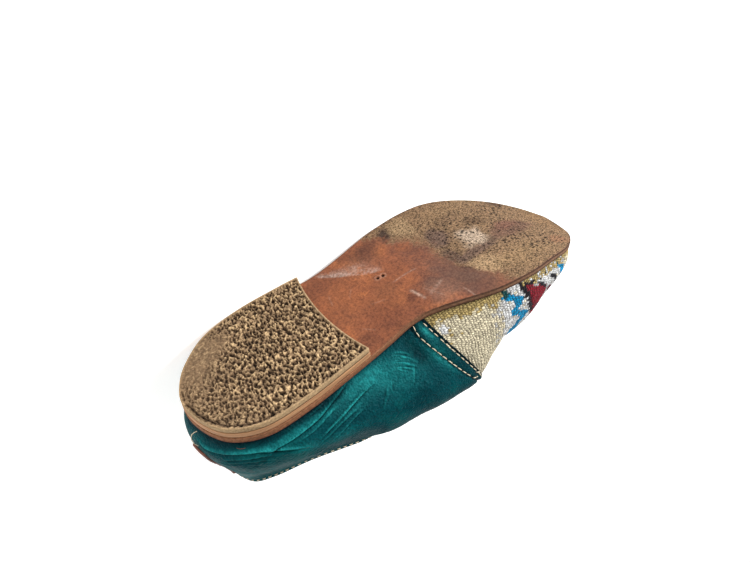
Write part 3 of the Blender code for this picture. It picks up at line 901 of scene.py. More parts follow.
def chart(x, w, over, inner, random):
    """The yarn's number at each bead: later lines are woven over earlier ones.

    x is along the foot, w up from the sole and over the distance from the ridge. Below SIDE_UP the two
    sides have charts of their own; over the ridge there is one, which is the same on both sides.
    """
    names = list(YARNS)
    yarn = np.full(x.shape, names.index("cream"))
    tooth = np.floor(w / BEAD_UP) % 2 < 1
    top = w > SIDE_UP

    def weave(where, name):
        yarn[where] = names.index(name)

    weave((x > 173 + 6 * (random - 0.5)) & (random < 0.93), "white")
    weave((x > 166) & (x < 178) & (random > 0.75), "grey")
    weave((x > 196) & (x < 228) & (random > 0.85), "grey")
    weave((x > 238) & (random > 0.12), "cream")
    zig_side = np.where(inner, np.interp(w, *zip(*ZIGZAG_INNER)), np.interp(w, *zip(*ZIGZAG_OUTER)))
    zig = np.where(top, 183.0 + 4.0 * triangle_wave(over, 12.5), zig_side)
    weave((np.abs(x - zig) < np.where(w > 20, 3.9, 3.6)) & (w > 2.5), "turquoise")
    # lozenges stand in a row over the ridge; beside it they are charted on each side
    square = np.mod(over + 13.0, 26.0) - 13.0
    lozenge = np.where(top, np.abs(x - 203.0) / 11.0 + np.abs(square) / 11.0, 9.0)
    weave(lozenge < 1.2, "black")
    weave(lozenge < 1.0, "red")
    weave(lozenge < 0.4, "white")
    weave(top & (np.abs(x - 221.0 - 2.5 * triangle_wave(over, 13.0)) < 1.0), "black")
    body = (x > 192 + 0.3 * w) & (x < 217) & (w > 4 + 0.42 * (x - 192)) & (w < 34 - 0.8 * np.abs(x - 203))
    weave(inner & body, "red")
    weave(inner & (np.abs(x - 189.3 - 0.40 * w) < 2.8) & tooth & (w > 3) & (w < 27), "black")
    for side, strokes in ((inner, STROKES_INNER), (~inner, STROKES_OUTER)):
        for name, half, path in strokes:
            away = beside_path(x[side], w[side], path)[0]
            picked = side.copy()
            picked[side] = away < half
            weave(picked, name)
    weave((x > 200) & (x < 222) & (w > 3) & (w < 7) & (random > 0.86) & inner, "black")
    stripe = np.where(inner, np.interp(w, *zip(*STRIPE_INNER)), 232.0)
    stripe = np.where(top, 234.0, stripe)
    weave((np.abs(x - stripe) < 3.1) & (w > 5), "turquoise")
    weave((np.abs(x - stripe) < 2.0) & (w < 6.5), "deep_green")
    strip_top = np.where((x > 178) & (x < 203) & inner, 8.0, 10.0) - 2.5 * hashed(np.floor(x / 5.0), 0 * x, 9)
    weave((w < strip_top - 4.0 * random) & ((x < 175) | (x > 192) & (random > 0.15)), "ochre")
    weave((x < 150 - 0.3 * w) & (random > 0.96), "ochre")
    weave(inner & (blot(x, w, 134.0, 12.5, 3.5, 3.0) > 0.4), "white")
    return yarn


# an offset in the random field, so that the two sides do not wear alike
side = 900.0 * (around > 0)
# the two walls differ in height, so rows are stretched a little to meet on the ridge
even_total = 0.5 * (wall_total + wall_total[::-1])
cloth_w = up_wall + (even_total - wall_total) * (up_wall / wall_total) ** 2
from_ridge = np.sign(around) * (even_total - cloth_w)
wander_x = 0.3 * soft_noise(cloth_x, from_ridge, 2.6, 81) + 0.8 * soft_noise(cloth_x, from_ridge, 9.0, 82)
wander_w = 0.2 * soft_noise(cloth_x, from_ridge, 2.2, 83) + 0.6 * soft_noise(cloth_x, from_ridge, 11.0, 84)
laid_x, laid_w = (cloth_x + wander_x) / BEAD_ALONG, (cloth_w + wander_w) / BEAD_UP
bead_x = np.floor(laid_x)
stagger = 0.5 * np.mod(bead_x, 2)
bead_w = np.floor(laid_w + stagger)


def bead_means(*fields):
    """The mean of each field over every bead, given back at all the bead's points."""
    _, which = np.unique(bead_x * 5000 + bead_w * 4 + (around > 0), return_inverse=True)
    which = which.ravel()
    size = np.bincount(which)
    return [(np.bincount(which, field.ravel()) / size)[which].reshape(field.shape) for field in fields]


mean_foot, mean_x, mean_w, mean_over = bead_means(along_foot, cloth_x, up_wall, wall_total - up_wall)
bead_random = hashed(bead_x, bead_w + side, 5)
yarn_names = chart(
    np.where(mean_w > SIDE_UP, mean_x, mean_foot), mean_w, mean_over, around > 0, bead_random
)
yarn_table = np.array([linear(colour) for colour in YARNS.values()])
yarn_colour = yarn_table[yarn_names]
counts = np.bincount(yarn_names.ravel(), minlength=len(YARNS))
print("yarn shares", {name: round(n / counts.sum(), 2) for name, n in zip(YARNS, counts)})

# %% Beads, folds and edges of the vamp
across_bead = np.mod(laid_x, 1.0) - 0.5
up_bead = np.mod(laid_w + stagger, 1.0) - 0.5
pillow = np.cos(math.pi * across_bead) ** 0.6 * np.cos(math.pi * up_bead) ** 0.6
bead_lift = BEAD_HEIGHT * (pillow - 0.6) * (0.7 + 0.6 * hashed(bead_x, bead_w, 3))
from_top = wall_total - up_wall


def rounded_edge(distance, radius):
    """How far a surface drops to round off an edge: a quarter circle over the last radius."""
    inside = np.clip(radius - distance, 0.0, radius)
    return radius - np.sqrt(radius**2 - inside**2)


buckle = 0.9 * soft_noise(along_foot, up_wall, 22.0, 4)
buckle = buckle * smoothstep(0, 12, up_wall) * smoothstep(0, 15, from_top)
free_edge = np.where(on_ridge[:, None], 0.0, rounded_edge(from_top, 0.95))
fade = np.where(on_ridge[:, None], 1.0, smoothstep(0.0, 1.2, from_top)) * smoothstep(0.0, 1.0, up_wall)
vamp_lift = buckle + bead_lift * fade - free_edge
vamp_face = vamp_base + vamp_normal * vamp_lift[..., None]

BACK_ROWS = 9
back_height = np.linspace(0.0, 1.0, BACK_ROWS)
back_share, back_up = np.meshgrid(vamp_share, back_height, indexing="ij")
back_around = vamp_place(back_share, back_up)
back_ridge = ridge_normals(back_around, back_up, on_ridge)
vamp_back = wall_points(back_around, back_up) - back_ridge * 1.15

back_count = vamp_back.size // 3
vamp_marks = {
    "yarn": np.vstack([yarn_colour.reshape(-1, 3), np.tile(linear(YARNS["cream"]), (back_count, 1))]),
}
vamp_cloth = np.vstack([np.column_stack([laid_x.ravel(), laid_w.ravel()]), np.full((back_count, 2), 0.5)])
vamp = sheet(
    "kilim_vamp", vamp_face, vamp_back, WOOL, vamp_marks, vamp_cloth,
    ridge=on_ridge, levels=(vamp_height, back_height),
)

# %% [markdown]
# ## The green quarters
#
# One length of leather runs from the band on the inner side round the heel to the band on the outer side.
# Its front ends are folded under and sewn down twice over the kilim, which makes the raised band. Worn
# leather shows in its creases more than in anything else, so the main ones are listed one by one: each is a
# path in the wall's own coordinates, S millimetres round from the toe and W millimetres up from the sole,
# pressed in as a trough with a soft lip beside it.

# %% Grid of the quarters
BAND_WIDTH = 10.0
BAND_FOOT_LESS = 2.8
BAND_LIFT = 1.45
band_columns = np.r_[0.0, 0.12, 0.35, 0.7, 1.1, np.arange(1.5, 17.1, 0.42)]
QUARTER_ROWS = 116

quarter_top = 1.0 - np.array([1.6, 1.1, 0.7, 0.35, 0.1, 0.0]) / 50.0
quarter_height = np.r_[np.linspace(0.0, quarter_top[0], QUARTER_ROWS - 5)[:-1], quarter_top]
QUARTER_SPAN = 372.0
inner_share = band_columns / QUARTER_SPAN
middle_share = np.linspace(inner_share[-1], 1.0 - inner_share[-1], 560)[1:-1]
quarter_share = np.r_[inner_share, middle_share, 1.0 - inner_share[::-1]]
share, height = np.meshgrid(quarter_share, quarter_height, indexing="ij")
front_inner, front_outer = band_front(height)
around = front_inner + (front_outer - front_inner) * share
quarter_base = wall_points(around, height)
quarter_normal = wall_normals(around, height)
S = SOLE_GIRTH * around
W = run_length(quarter_base, 1)
from_top = W[:, -1:] - W
from_front = run_length(quarter_base, 0)
from_outer = from_front[-1:] - from_front
print("quarters run", from_front[-1].min().round(), "to", from_front[-1].max().round(), "mm round the heel")


# %% Bands, hem and creases of the quarters
def crease(path, depth, width, lip, lip_side, fade=0.18):
    """A trough along a path in (S, W): -depth exp(-(d/width)^2), with a lip that stands beside it."""
    away, side, share = beside_path(S, W, path)
    ends = smoothstep(0.0, fade, share) * smoothstep(0.0, fade, 1.0 - share)
    trough = np.exp(-((away / width) ** 2))
    line = np.exp(-((away / (0.55 * width)) ** 2))
    bank = np.exp(-(((away * side * lip_side - 1.5 * width) / (0.9 * width)) ** 2))
    return (-depth * trough + lip * depth * bank) * ends, line * ends, bank * ends


def band_rear(w):
    """The band's width at each height: it narrows towards its foot."""
    return BAND_WIDTH - BAND_FOOT_LESS * (1.0 - smoothstep(0.0, 9.0, w))


def band_profile(distance, w):
    """The folded band: flat edge, first stitch row, a soft roll, second stitch row, then down."""
    rear = band_rear(w)
    on_band = 1.0 - smoothstep(rear - 0.6, rear + 1.6, distance)
    roll = 0.45 * np.sin(math.pi * np.clip((distance - 2.2) / (rear - 2.2), 0.0, 1.0))
    groove = 0.45 * np.exp(-(((distance - 2.2) / 0.7) ** 2)) + 0.5 * np.exp(-(((distance - rear) / 0.9) ** 2))
    behind = 0.5 * blot(distance, 0 * distance, rear + 3.0, 0.0, 2.2, 1.0)
    return (BAND_LIFT - 0.35 + roll) * on_band - groove + behind - rounded_edge(distance, 0.6)


quarter_lift = np.where(share < 0.5, band_profile(from_front, W), band_profile(from_outer, W))
edge_near = np.minimum(from_front, from_outer)
# the band's folded front edge and the whole band are darker, the groove at its rear gets painted shade, and
# the low part of its roll a painted highlight
dark = 0.95 * (1.0 - smoothstep(1.4, 2.0, edge_near)) + 0.8 * np.exp(-(((edge_near - BAND_WIDTH) / 0.6) ** 2))
dark += 0.35 * (1.0 - smoothstep(8.5, 10.5, edge_near))
light = 1.1 * np.exp(-(((edge_near - 5.2) / 1.5) ** 2)) * blot(W, 0 * W, 9.5, 0.0, 6.0, 1.0)

# S, W points; depth; width; lip; side of the lip; painted shade along its line; painted highlight on its lip
CREASES = (
    (((318, 11), (309, 12.5), (298, 11), (291, 9.9), (281, 10.6), (276, 12.5), (271, 16), (267, 20),
      (262, 26)), 0.9, 1.3, 1.0, 1, 0.5, 0.55),
    (((283, 11), (276, 12), (264, 11.5), (253, 10.4), (247, 9.4), (242, 8), (237, 6.5), (231, 5), (226, 3.5),
      (219, 1.5)), 1.0, 0.85, 0.8, 1, 0.9, 0.35),
    (((256, 23), (248, 20), (240, 17.5), (231, 15.5), (220, 13.5), (210, 13)), 0.5, 0.7, 0.8, 1, 0.6, 0.35),
    (((251, 18.5), (242, 16), (234, 14), (224, 12.3), (214, 12)), 0.4, 0.6, 0.8, -1, 0.5, 0.3),
    (((259, 27), (247, 22.8), (237, 20), (226, 19)), 0.4, 0.7, 0.8, 1, 0.4, 0.3),
    (((262, 15), (252, 14), (243, 11.5), (234, 9.5)), 0.35, 0.7, 0.7, 1, 0.35, 0.35),
    (((253, 30), (242, 26), (234, 23), (226, 21.5)), 0.4, 0.6, 0.8, 1, 0.4, 0.3),
    (((246, 20.5), (237, 17.5), (228, 15), (218, 12.8)), 0.4, 0.55, 0.9, 1, 0.45, 0.45),
    (((196, 30), (190, 24), (186, 19)), 0.3, 0.6, 0.8, 1, 0.3, 0.3),
    (((208, 25), (205, 21), (202, 17)), 0.3, 0.6, 0.8, 1, 0.3, 0.15),
    (((222, 30), (214, 24), (206, 16)), 0.3, 0.8, 0.6, -1, 0.25, 0.08),
    (((300, 16), (291, 14), (281, 14.5), (275, 17)), 0.3, 0.7, 0.7, 1, 0.35, 0.2),
    (((305, 20), (293, 17.5), (283, 18), (276, 22)), 0.3, 0.8, 0.6, 1, 0.3, 0.2),
    (((252, 5), (244, 4), (236, 2.4)), 0.3, 0.6, 0.6, 1, 0.35, 0.2),
    (((330, 26), (345, 20), (362, 18), (380, 22)), 0.6, 1.5, 0.6, 1, 0.5, 0.3),
    (((392, 10), (410, 16), (432, 17), (452, 12)), 0.7, 1.3, 0.7, 1, 0.5, 0.3),
    (((402, 24), (420, 22), (440, 25)), 0.5, 1.1, 0.6, -1, 0.4, 0.3),
    (((446, 30), (458, 22), (464, 12)), 0.5, 1.2, 0.6, 1, 0.4, 0.3),
    (((345, 8), (360, 10), (378, 8), (392, 4)), 0.6, 1.0, 0.7, 1, 0.5, 0.3),
)
# each crease is pressed in, painted darker along its line as shade and lighter on its lip as a highlight
for path, depth, width, lip, side, darker, lighter in CREASES:
    lift, line, bank = crease(path, depth, width, lip, side)
    quarter_lift += 1.2 * lift
    dark += 1.3 * darker * line
    light += 1.4 * lighter * bank

# a sheaf of fine wrinkles behind the inner band, and its twin on the outer side, each with painted shade
# along its line and a painted highlight on its lip: how far each one stands from the first, and how long it
# is
SHEAF = ((0.0, 8.0), (1.1, 12.0), (2.6, 15.0), (3.5, 11.0), (4.9, 16.0), (6.3, 14.0), (7.2, 9.0), (8.7, 12.0))
for start, turn in ((200.5, 1.0), (444.0, -1.0)):
    for k, (beside, length) in enumerate(SHEAF):
        low, rise = start - 0.72 * beside * turn, 13.5 - 0.95 * beside
        middle = (low - 0.50 * length * turn, rise + (0.34 + 0.03 * (k % 3)) * length)
        lift, line, bank = crease(
            ((low, rise), middle, (low - 0.84 * length * turn, rise + 0.90 * length)),
            0.34 + 0.07 * (k % 3), 0.6, 1.1, int(turn), 0.35,
        )
        quarter_lift += lift
        light += (0.5 + 0.2 * (k % 2)) * bank
        dark += 0.45 * line

# everywhere, small folds where a stretched noise passes through zero, with painted shade in them
slant_1, slant_2 = 0.88 * S + 0.47 * W, 0.88 * W - 0.47 * S
small_fold = 1.0 - smoothstep(0.0, 0.30, np.abs(soft_noise(slant_1 / 4.0, slant_2, 2.4, 14, 2)))
crumpled = 0.25 + 0.75 * smoothstep(-0.2, 0.5, soft_noise(S, W, 19.0, 16, 2))
quarter_lift -= 0.24 * small_fold * crumpled * smoothstep(0, 3, W) * smoothstep(2, 6, from_top)
dark += 0.24 * small_fold * crumpled

# two soft hollows behind the bands, pressed in and painted darker as shade
hollow_inner = blot(S, W, 180.0, 15.0, 5.5, 14.0)
hollow_outer = blot(S, W, 466.0, 15.0, 4.5, 13.0)
quarter_lift -= 0.9 * (hollow_inner + hollow_outer)
dark += 0.72 * (hollow_inner + hollow_outer)
quarter_lift += 0.45 * soft_noise(S, W, 17.0, 8, 2) * smoothstep(0, 6, W) * smoothstep(0, 5, from_top)
# painted shade over the upper wall round the heel
heel_side = smoothstep(258.0, 272.0, S) * (1.0 - smoothstep(318.0, 345.0, S)) * smoothstep(11.0, 15.0, W)
dark += 0.22 * heel_side
# painted shade where the leather goes in over the sole, and a painted shadow under the heel lift
dark += 0.6 * (1.0 - smoothstep(0.6, 3.6, W)) * smoothstep(2.0, 8.0, edge_near)
lift_shadow_span = smoothstep(222.0, 242.0, S) * (1.0 - smoothstep(350.0, 375.0, S))
dark += 0.6 * (1.0 - smoothstep(3.6, 7.0, W)) * lift_shadow_span
# painted highlights, and places where hands, heel and floor have rubbed the wax off: strength, S, W, half
# sizes
HIGHLIGHTS_AND_RUBS = (
    (0.50, 250, 8.5, 20, 3.0), (0.60, 213, 7.5, 16, 4.5), (0.30, 208, 15, 14, 6), (0.42, 169, 27, 4.5, 13),
    (0.30, 232, 16, 9, 3.5), (0.22, 196, 24, 13, 8), (0.35, 278, 9.0, 14, 3.0), (0.25, 246, 30, 10, 5),
    (0.32, 262, 23, 7, 5), (0.30, 295, 34, 30, 14), (0.20, 425, 22, 20, 7), (0.20, 360, 12, 20, 7),
    (0.18, 330, 40, 60, 8),
)
for strength, *place in HIGHLIGHTS_AND_RUBS:
    light += strength * blot(S, W, *place)
# a faint painted highlight over the whole leather, and all of it broken up by a fine noise
light = 0.06 + light * (0.78 + 0.22 * soft_noise(S, W, 2.6, 18, 3))

HEM_STITCH = 2.3
hem_groove = 0.28 * np.exp(-(((from_top - HEM_STITCH) / 0.55) ** 2))
quarter_lift -= hem_groove + rounded_edge(from_top, 0.98)
quarter_lift += 0.18 * blot(from_top, 0 * from_top, 1.1, 0.0, 0.8, 1.0)
quarter_face = quarter_base + quarter_normal * quarter_lift[..., None]

# %% Backs and rims of the quarters
quarter_back_height = np.array([0.0, 0.2, 0.4, 0.6, 0.75, 0.86, 0.89, 0.91, 0.95, 0.985, 1.0])
back_share, back_up = np.meshgrid(quarter_share, quarter_back_height, indexing="ij")
back_inner, back_outer = band_front(back_up)
back_around = back_inner + (back_outer - back_inner) * back_share
to_edge = np.minimum(back_share, 1.0 - back_share) * QUARTER_SPAN
under_band = 1.0 - smoothstep(9.0, 12.0, to_edge)
turned_in = smoothstep(0.88, 0.92, back_up)
back_offset = -1.15 - 0.95 * turned_in + 0.95 * smoothstep(0.98, 1.0, back_up)
back_offset = back_offset * (1.0 - under_band) + 0.55 * under_band
quarter_back = wall_points(back_around, back_up) + wall_normals(back_around, back_up) * back_offset[..., None]
back_zero = np.zeros(back_around.size)
quarter_marks = {
    key: np.r_[np.clip(field, 0, 1).ravel(), back_zero] for key, field in (("dark", dark), ("light", light))
}
quarters = sheet(
    "green_quarters", quarter_face, quarter_back, GREEN, quarter_marks,
    levels=(quarter_height, quarter_back_height),
)

# %% [markdown]
# ## Lining
#
# Inside the real shoe a thin tan leather backs both cloth and quarters. Only its face towards the foot is
# seen, through the collar. It is a closed sheet on the same wall functions, a hair inside them.

# %% Lining
LINING_COLUMNS = 320
lining_round = (np.arange(LINING_COLUMNS) + 0.5) / LINING_COLUMNS - 0.5
lining_ridge = np.abs(lining_round) <= THROAT
lining_height = np.linspace(0.0, 1.0, 30)
around, height = np.meshgrid(lining_round, lining_height, indexing="ij")
height = np.where(lining_ridge[:, None], height, height * 0.925)
lining_normal = ridge_normals(around, height, lining_ridge)
lining_base = wall_points(around, height)
lining_outer = lining_base - lining_normal * 1.3
lining_inner = lining_base - lining_normal * UPPER_WALL
lining = sheet("lining", lining_outer, lining_inner, LINING, ridge=lining_ridge, closed=True)

# %% [markdown]
# ## Stitches
#
# A hand-guided machine sewed these with thick thread, about four millimetres from stitch to stitch. Each
# one is a short bent tube that dives into the leather at both ends. All are copies of one small shape, laid
# along rows that are themselves paths on the wall, and joined into one mesh.

# %% Stitch maker
STITCH_SIDES = 6


def surface_at(around, height, lift):
    """Points on the quarters, lifted off the wall."""
    return wall_points(around, height) + wall_normals(around, height) * np.asarray(lift)[..., None]


def stitch_mesh(starts, ends, normals, radius=0.30, rise=0.28, dive=0.35):
    """Bent tubes from starts to ends, dipping below zero at both: one less a fourth power, flat on top."""
    t = np.linspace(0.0, 1.0, 7)
    ring = np.linspace(0.0, 2 * math.pi, STITCH_SIDES, endpoint=False)
    along = ends - starts
    direction = along / np.linalg.norm(along, axis=1)[:, None]
    side = np.cross(direction, normals)
    line = starts[:, None] + along[:, None] * t[None, :, None]
    arch = (rise + dive) * (1.0 - (2 * t - 1.0) ** 4) - dive
    line = line + normals[:, None] * arch[None, :, None]
    thick = radius * np.array([0.25, 0.8, 1.0, 1.0, 1.0, 0.8, 0.25])
    offset = (
        side[:, None, None] * np.cos(ring)[None, None, :, None]
        + normals[:, None, None] * np.sin(ring)[None, None, :, None]
    )
    points = line[:, :, None] + offset * thick[None, :, None, None]
    count = len(starts)
    numbers = np.arange(count * len(t) * STITCH_SIDES).reshape(count, len(t), STITCH_SIDES)
    turned = np.roll(numbers, -1, axis=2)
    walls = np.stack([numbers[:, :-1], turned[:, :-1], turned[:, 1:], numbers[:, 1:]], axis=-1).reshape(-1, 4)
    return points.reshape(-1, 3), walls.tolist() + numbers[:, 0, ::-1].tolist() + numbers[:, -1].tolist()


def row_of_stitches(points, normals, pitch, length, jitter=0.12, seed=1):
    """Starts, ends and normals of stitches laid end to end along a fine path."""
    run = np.r_[0.0, np.cumsum(np.linalg.norm(np.diff(points, axis=0), axis=1))]
    first = np.arange(0.6, run[-1] - length, pitch)
    wobble = (hashed(np.arange(len(first)), np.arange(len(first)) * 0, seed) - 0.5) * jitter * pitch
    reads = [
        np.column_stack([np.interp(at, run, axis) for axis in points.T])
        for at in (first + wobble, first + wobble + length)
    ]
    normal = np.column_stack([np.interp(first + length / 2, run, axis) for axis in normals.T])
    return reads[0], reads[1], normal / np.linalg.norm(normal, axis=1)[:, None]


def grid_row(values, level, axis_values):
    """Where a grid's rising values reach a level, column by column: an index as a fraction."""
    above = values > level
    k = np.clip(above.argmax(axis=0), 1, None)
    columns = np.arange(values.shape[1])
    low, high = values[k - 1, columns], values[k, columns]
    part = np.clip((level - low) / np.maximum(high - low, 1e-9), 0.0, 1.0)
    return axis_values[k - 1] * (1 - part) + axis_values[k] * part


# %% Rows of stitches
def band_row(distance, at_rear, outer, low, high):
    """Path of a stitch row on a band: at a distance from the front edge or from the band's rear."""
    rows = np.linspace(0, len(quarter_height) - 1, 200).astype(int)
    run = from_outer[::-1] if outer else from_front
    shares = quarter_share if not outer else 1.0 - quarter_share[::-1]
    level = distance + band_rear(W[40]) * at_rear
    where = grid_row(run, level, shares)[rows]
    where = 1.0 - where if outer else where
    up = quarter_height[rows]
    keep = (up >= low) & (up <= high)
    up, where = up[keep], where[keep]
    inner, outside = band_front(up)
    place = inner + (outside - inner) * where
    lift = np.full_like(up, BAND_LIFT - 0.62)
    return surface_at(place, up, lift), wall_normals(place, up)


rows = []
for outer in (False, True):
    rows.append(row_of_stitches(*band_row(2.2, 0, outer, 0.02, 0.60), 4.3, 3.2, seed=3))
    rows.append(row_of_stitches(*band_row(0.0, 1, outer, 0.005, 0.64), 4.1, 3.5, seed=4))
    rows.append(row_of_stitches(*band_row(2.6, 0, outer, 0.62, 0.96), 5.0, 4.2, seed=6))

# the hem's row runs below the collar's edge all the way round
place = np.linspace(BAND_INNER_TOP + 0.020, BAND_OUTER_FRONT - 0.020, 900)
lengths = run_length(wall_points(*np.meshgrid(place, np.linspace(0, 1, 60), indexing="ij")), 1)[:, -1]
up = 1.0 - HEM_STITCH / lengths
hem_path = surface_at(place, up, np.full_like(place, -0.22))
rows.append(row_of_stitches(hem_path, wall_normals(place, up), 3.7, 2.2, seed=5))

# a few loose cross stitches lock the inner band's corner
CROSS = (
    (0.2310, 0.585, 0.2385, 0.575), (0.2340, 0.60, 0.2350, 0.66), (0.2520, 0.652, 0.2475, 0.665),
    (0.2470, 0.664, 0.2430, 0.655),
)
cross_start = surface_at(*np.array([(a, b) for a, b, _, _ in CROSS]).T, [BAND_LIFT - 0.3] * len(CROSS))
cross_end = surface_at(*np.array([(c, d) for _, _, c, d in CROSS]).T, [BAND_LIFT - 0.3] * len(CROSS))
cross_normal = wall_normals(*np.array([(a, b) for a, b, _, _ in CROSS]).T)
rows.append((cross_start, cross_end, cross_normal))
starts, ends, normals = (np.vstack([row[k] for row in rows]) for k in range(3))
stitches = make_mesh("stitches", *stitch_mesh(starts, ends, normals), THREAD)
print(len(starts), "stitches")

# %% [markdown]
# ## Back seam strip and thread loop
#
# A narrow russet strip covers the seam where the quarters meet behind the heel, and the thread that sewed
# it was left as a small loop at its foot.

# %% Back strip and loop
strip_across = np.linspace(0.0, 1.0, 17)
strip_up = np.linspace(0.33, 0.985, 110)
share, height = np.meshgrid(strip_across, strip_up, indexing="ij")
around = BACK_STRIP_FROM + (BACK_STRIP_TO - BACK_STRIP_FROM) * share
strip_base = wall_points(around, height)
across_mm = run_length(strip_base, 0)
strip_edge = np.minimum(across_mm, across_mm[-1:] - across_mm)
ends_mm = run_length(strip_base, 1)
end_edge = np.minimum(ends_mm, ends_mm[:, -1:] - ends_mm)
ripple = 0.12 * soft_noise(across_mm, ends_mm, 3.0, 12, 2)
strip_lift = 1.35 + ripple - rounded_edge(strip_edge, 0.7) - rounded_edge(end_edge, 0.7)
strip_normal = wall_normals(around, height)
strip_face = strip_base + strip_normal * strip_lift[..., None]
strip_back = strip_base + strip_normal * 0.12
strip = sheet("back_strip", strip_face, strip_back, RUSSET)

THREAD_RINGS, THREAD_SIDES = 40, 8


def thread(name, path, radius, material):
    """A round thread along points: rings round a smooth path, closed at both ends."""
    line = smooth_path(path, THREAD_RINGS)
    along = np.gradient(line, axis=0)
    along /= np.linalg.norm(along, axis=1)[:, None]
    side = np.cross(along, [0.0, 1.0, 0.0])
    side /= np.linalg.norm(side, axis=1)[:, None]
    over = np.cross(side, along)
    ring = np.linspace(0.0, 2 * math.pi, THREAD_SIDES, endpoint=False)
    offset = side[:, None] * np.cos(ring)[None, :, None] + over[:, None] * np.sin(ring)[None, :, None]
    numbers = np.arange(THREAD_RINGS * THREAD_SIDES).reshape(THREAD_RINGS, THREAD_SIDES)
    turned = np.roll(numbers, -1, axis=1)
    walls = np.stack([numbers[:-1], turned[:-1], turned[1:], numbers[1:]], axis=-1).reshape(-1, 4).tolist()
    ends = [numbers[0, ::-1].tolist(), numbers[-1].tolist()]
    return make_mesh(name, (line[:, None] + offset * radius).reshape(-1, 3), walls + ends, material)


# round, height up the wall as a share, lift
LOOP_PATH = np.array(
    [(0.4930, 0.07, -0.2), (0.4945, 0.09, 1.0), (0.4960, 0.13, 1.6), (0.4955, 0.18, 1.6), (0.4935, 0.22, 1.0),
     (0.4920, 0.25, 0.0)]
)
loop = thread("thread_loop", surface_at(*LOOP_PATH.T), 0.22, THREAD)
MARK_PATH = np.array(
    [(0.4545, 0.068, 0.05), (0.4520, 0.078, 0.3), (0.4490, 0.080, 0.3), (0.4465, 0.076, 0.05)]
)
brown_stitch = thread("brown_stitch", surface_at(*MARK_PATH.T), 0.2, RUSSET)

# %% [markdown]
# ## Outsole
#
# One thickness of leather from heel to toe. Its underside is what shows most, so it gets the fine grid:
# stations along x, closer together towards the tips and round the two nail holes, and points across
# between the outline's two sides. Walking has left hollows under the ball, a nap, scuffs and scratches,
# all placed in the sole's own millimetres.


# %% Slab maker
def slab(name, xs, across, outline, breast, relief, edge_marks, edge_rings, base_z, material):
    """A flat-topped slab with a worked underside, closed by edge rings and a ladder of top faces.

    xs are stations from the back to the front as shares, across are shares from the outer to the inner
    side, breast(share) is the front's x, relief(x, y, from_edge) gives lift and marks, edge_marks(x, rise)
    gives the edge's marks, and edge_rings lists (inset, height above the underside) from rim to top.
    """
    low_i, high_i = outline[:, 0].argmin(), outline[:, 0].argmax()
    inner, outer = np.roll(outline, -high_i, axis=0), np.roll(outline, -low_i, axis=0)
    turn = (low_i - high_i) % len(outline)
    inner, outer = inner[:turn + 1][::-1], outer[:len(outline) - turn + 1]
    back = outline[low_i, 0]
    front = breast(across)
    x = back + (front[None, :] - back) * xs[:, None]
    y_inner, y_outer = (np.interp(x, side[:, 0], side[:, 1]) for side in (inner, outer))
    y = y_outer + (y_inner - y_outer) * across[None, :]
    x, y = x[1:], y[1:]
    pointed = front.max() >= outline[:, 0].max() - 1e-6
    if pointed:
        x, y = x[:-1], y[:-1]
    poles = [outline[low_i]] + ([outline[high_i]] if pointed else [])
    flat = np.vstack([np.column_stack([x.ravel(), y.ravel()]), *poles])
    grid = np.arange(x.size).reshape(x.shape)
    tail = x.size
    faces = []
    for k in range(len(grid) - 1):
        faces += quads(grid[k], grid[k + 1])
    faces += np.column_stack([np.full(len(across) - 1, tail), grid[0, :-1], grid[0, 1:]]).tolist()
    border = [tail] + grid[:, 0].tolist()
    if pointed:
        tip = tail + 1
        faces += np.column_stack([grid[-1, 1:], grid[-1, :-1], np.full(len(across) - 1, tip)]).tolist()
        border += [tip] + grid[::-1, -1].tolist()
    else:
        border += grid[-1, 1:-1].tolist() + grid[::-1, -1].tolist()
    faces = [face[::-1] for face in faces]
    rim = flat[border]
    side = outward(rim)
    near = distance_to_rim(flat, rim)
    lift, marks = relief(flat[:, 0], flat[:, 1], near)
    points = [np.column_stack([flat, base_z(flat[:, 0]) + lift])]
    count = len(flat)
    lower = np.array(border)
    for inset, rise in edge_rings:
        ring = rim + side * (edge_rings[0][0] - inset)
        points.append(np.column_stack([ring, base_z(rim[:, 0]) + rise]))
        for key, values in edge_marks(rim[:, 0], rise).items():
            marks[key] = np.concatenate([marks[key], values])
        upper = np.arange(len(border)) + count
        faces += quads(np.append(lower, lower[0]), np.append(upper, upper[0]))
        lower, count = upper, count + len(border)
    if pointed:
        rows = len(grid)
        right, left = lower[1:rows + 1], lower[::-1][:rows]
        faces += np.column_stack([right[:-1], right[1:], left[1:], left[:-1]]).tolist()
        faces += [[lower[0], right[0], left[0]], [right[-1], lower[rows + 1], left[-1]]]
    else:
        faces.append(lower)
    return make_mesh(name, np.vstack(points), [[int(k) for k in f] for f in faces], material, marks)


def distance_to_rim(points, rim):
    """Distance from each point to the rim, found in strips so that memory stays small."""
    nearest = []
    for part in np.array_split(points, max(1, len(points) // 4000)):
        gap = part[:, None, :] - rim[None, ::2, :]
        nearest.append(np.sqrt((gap**2).sum(axis=2)).min(axis=1))
    return np.concatenate(nearest)


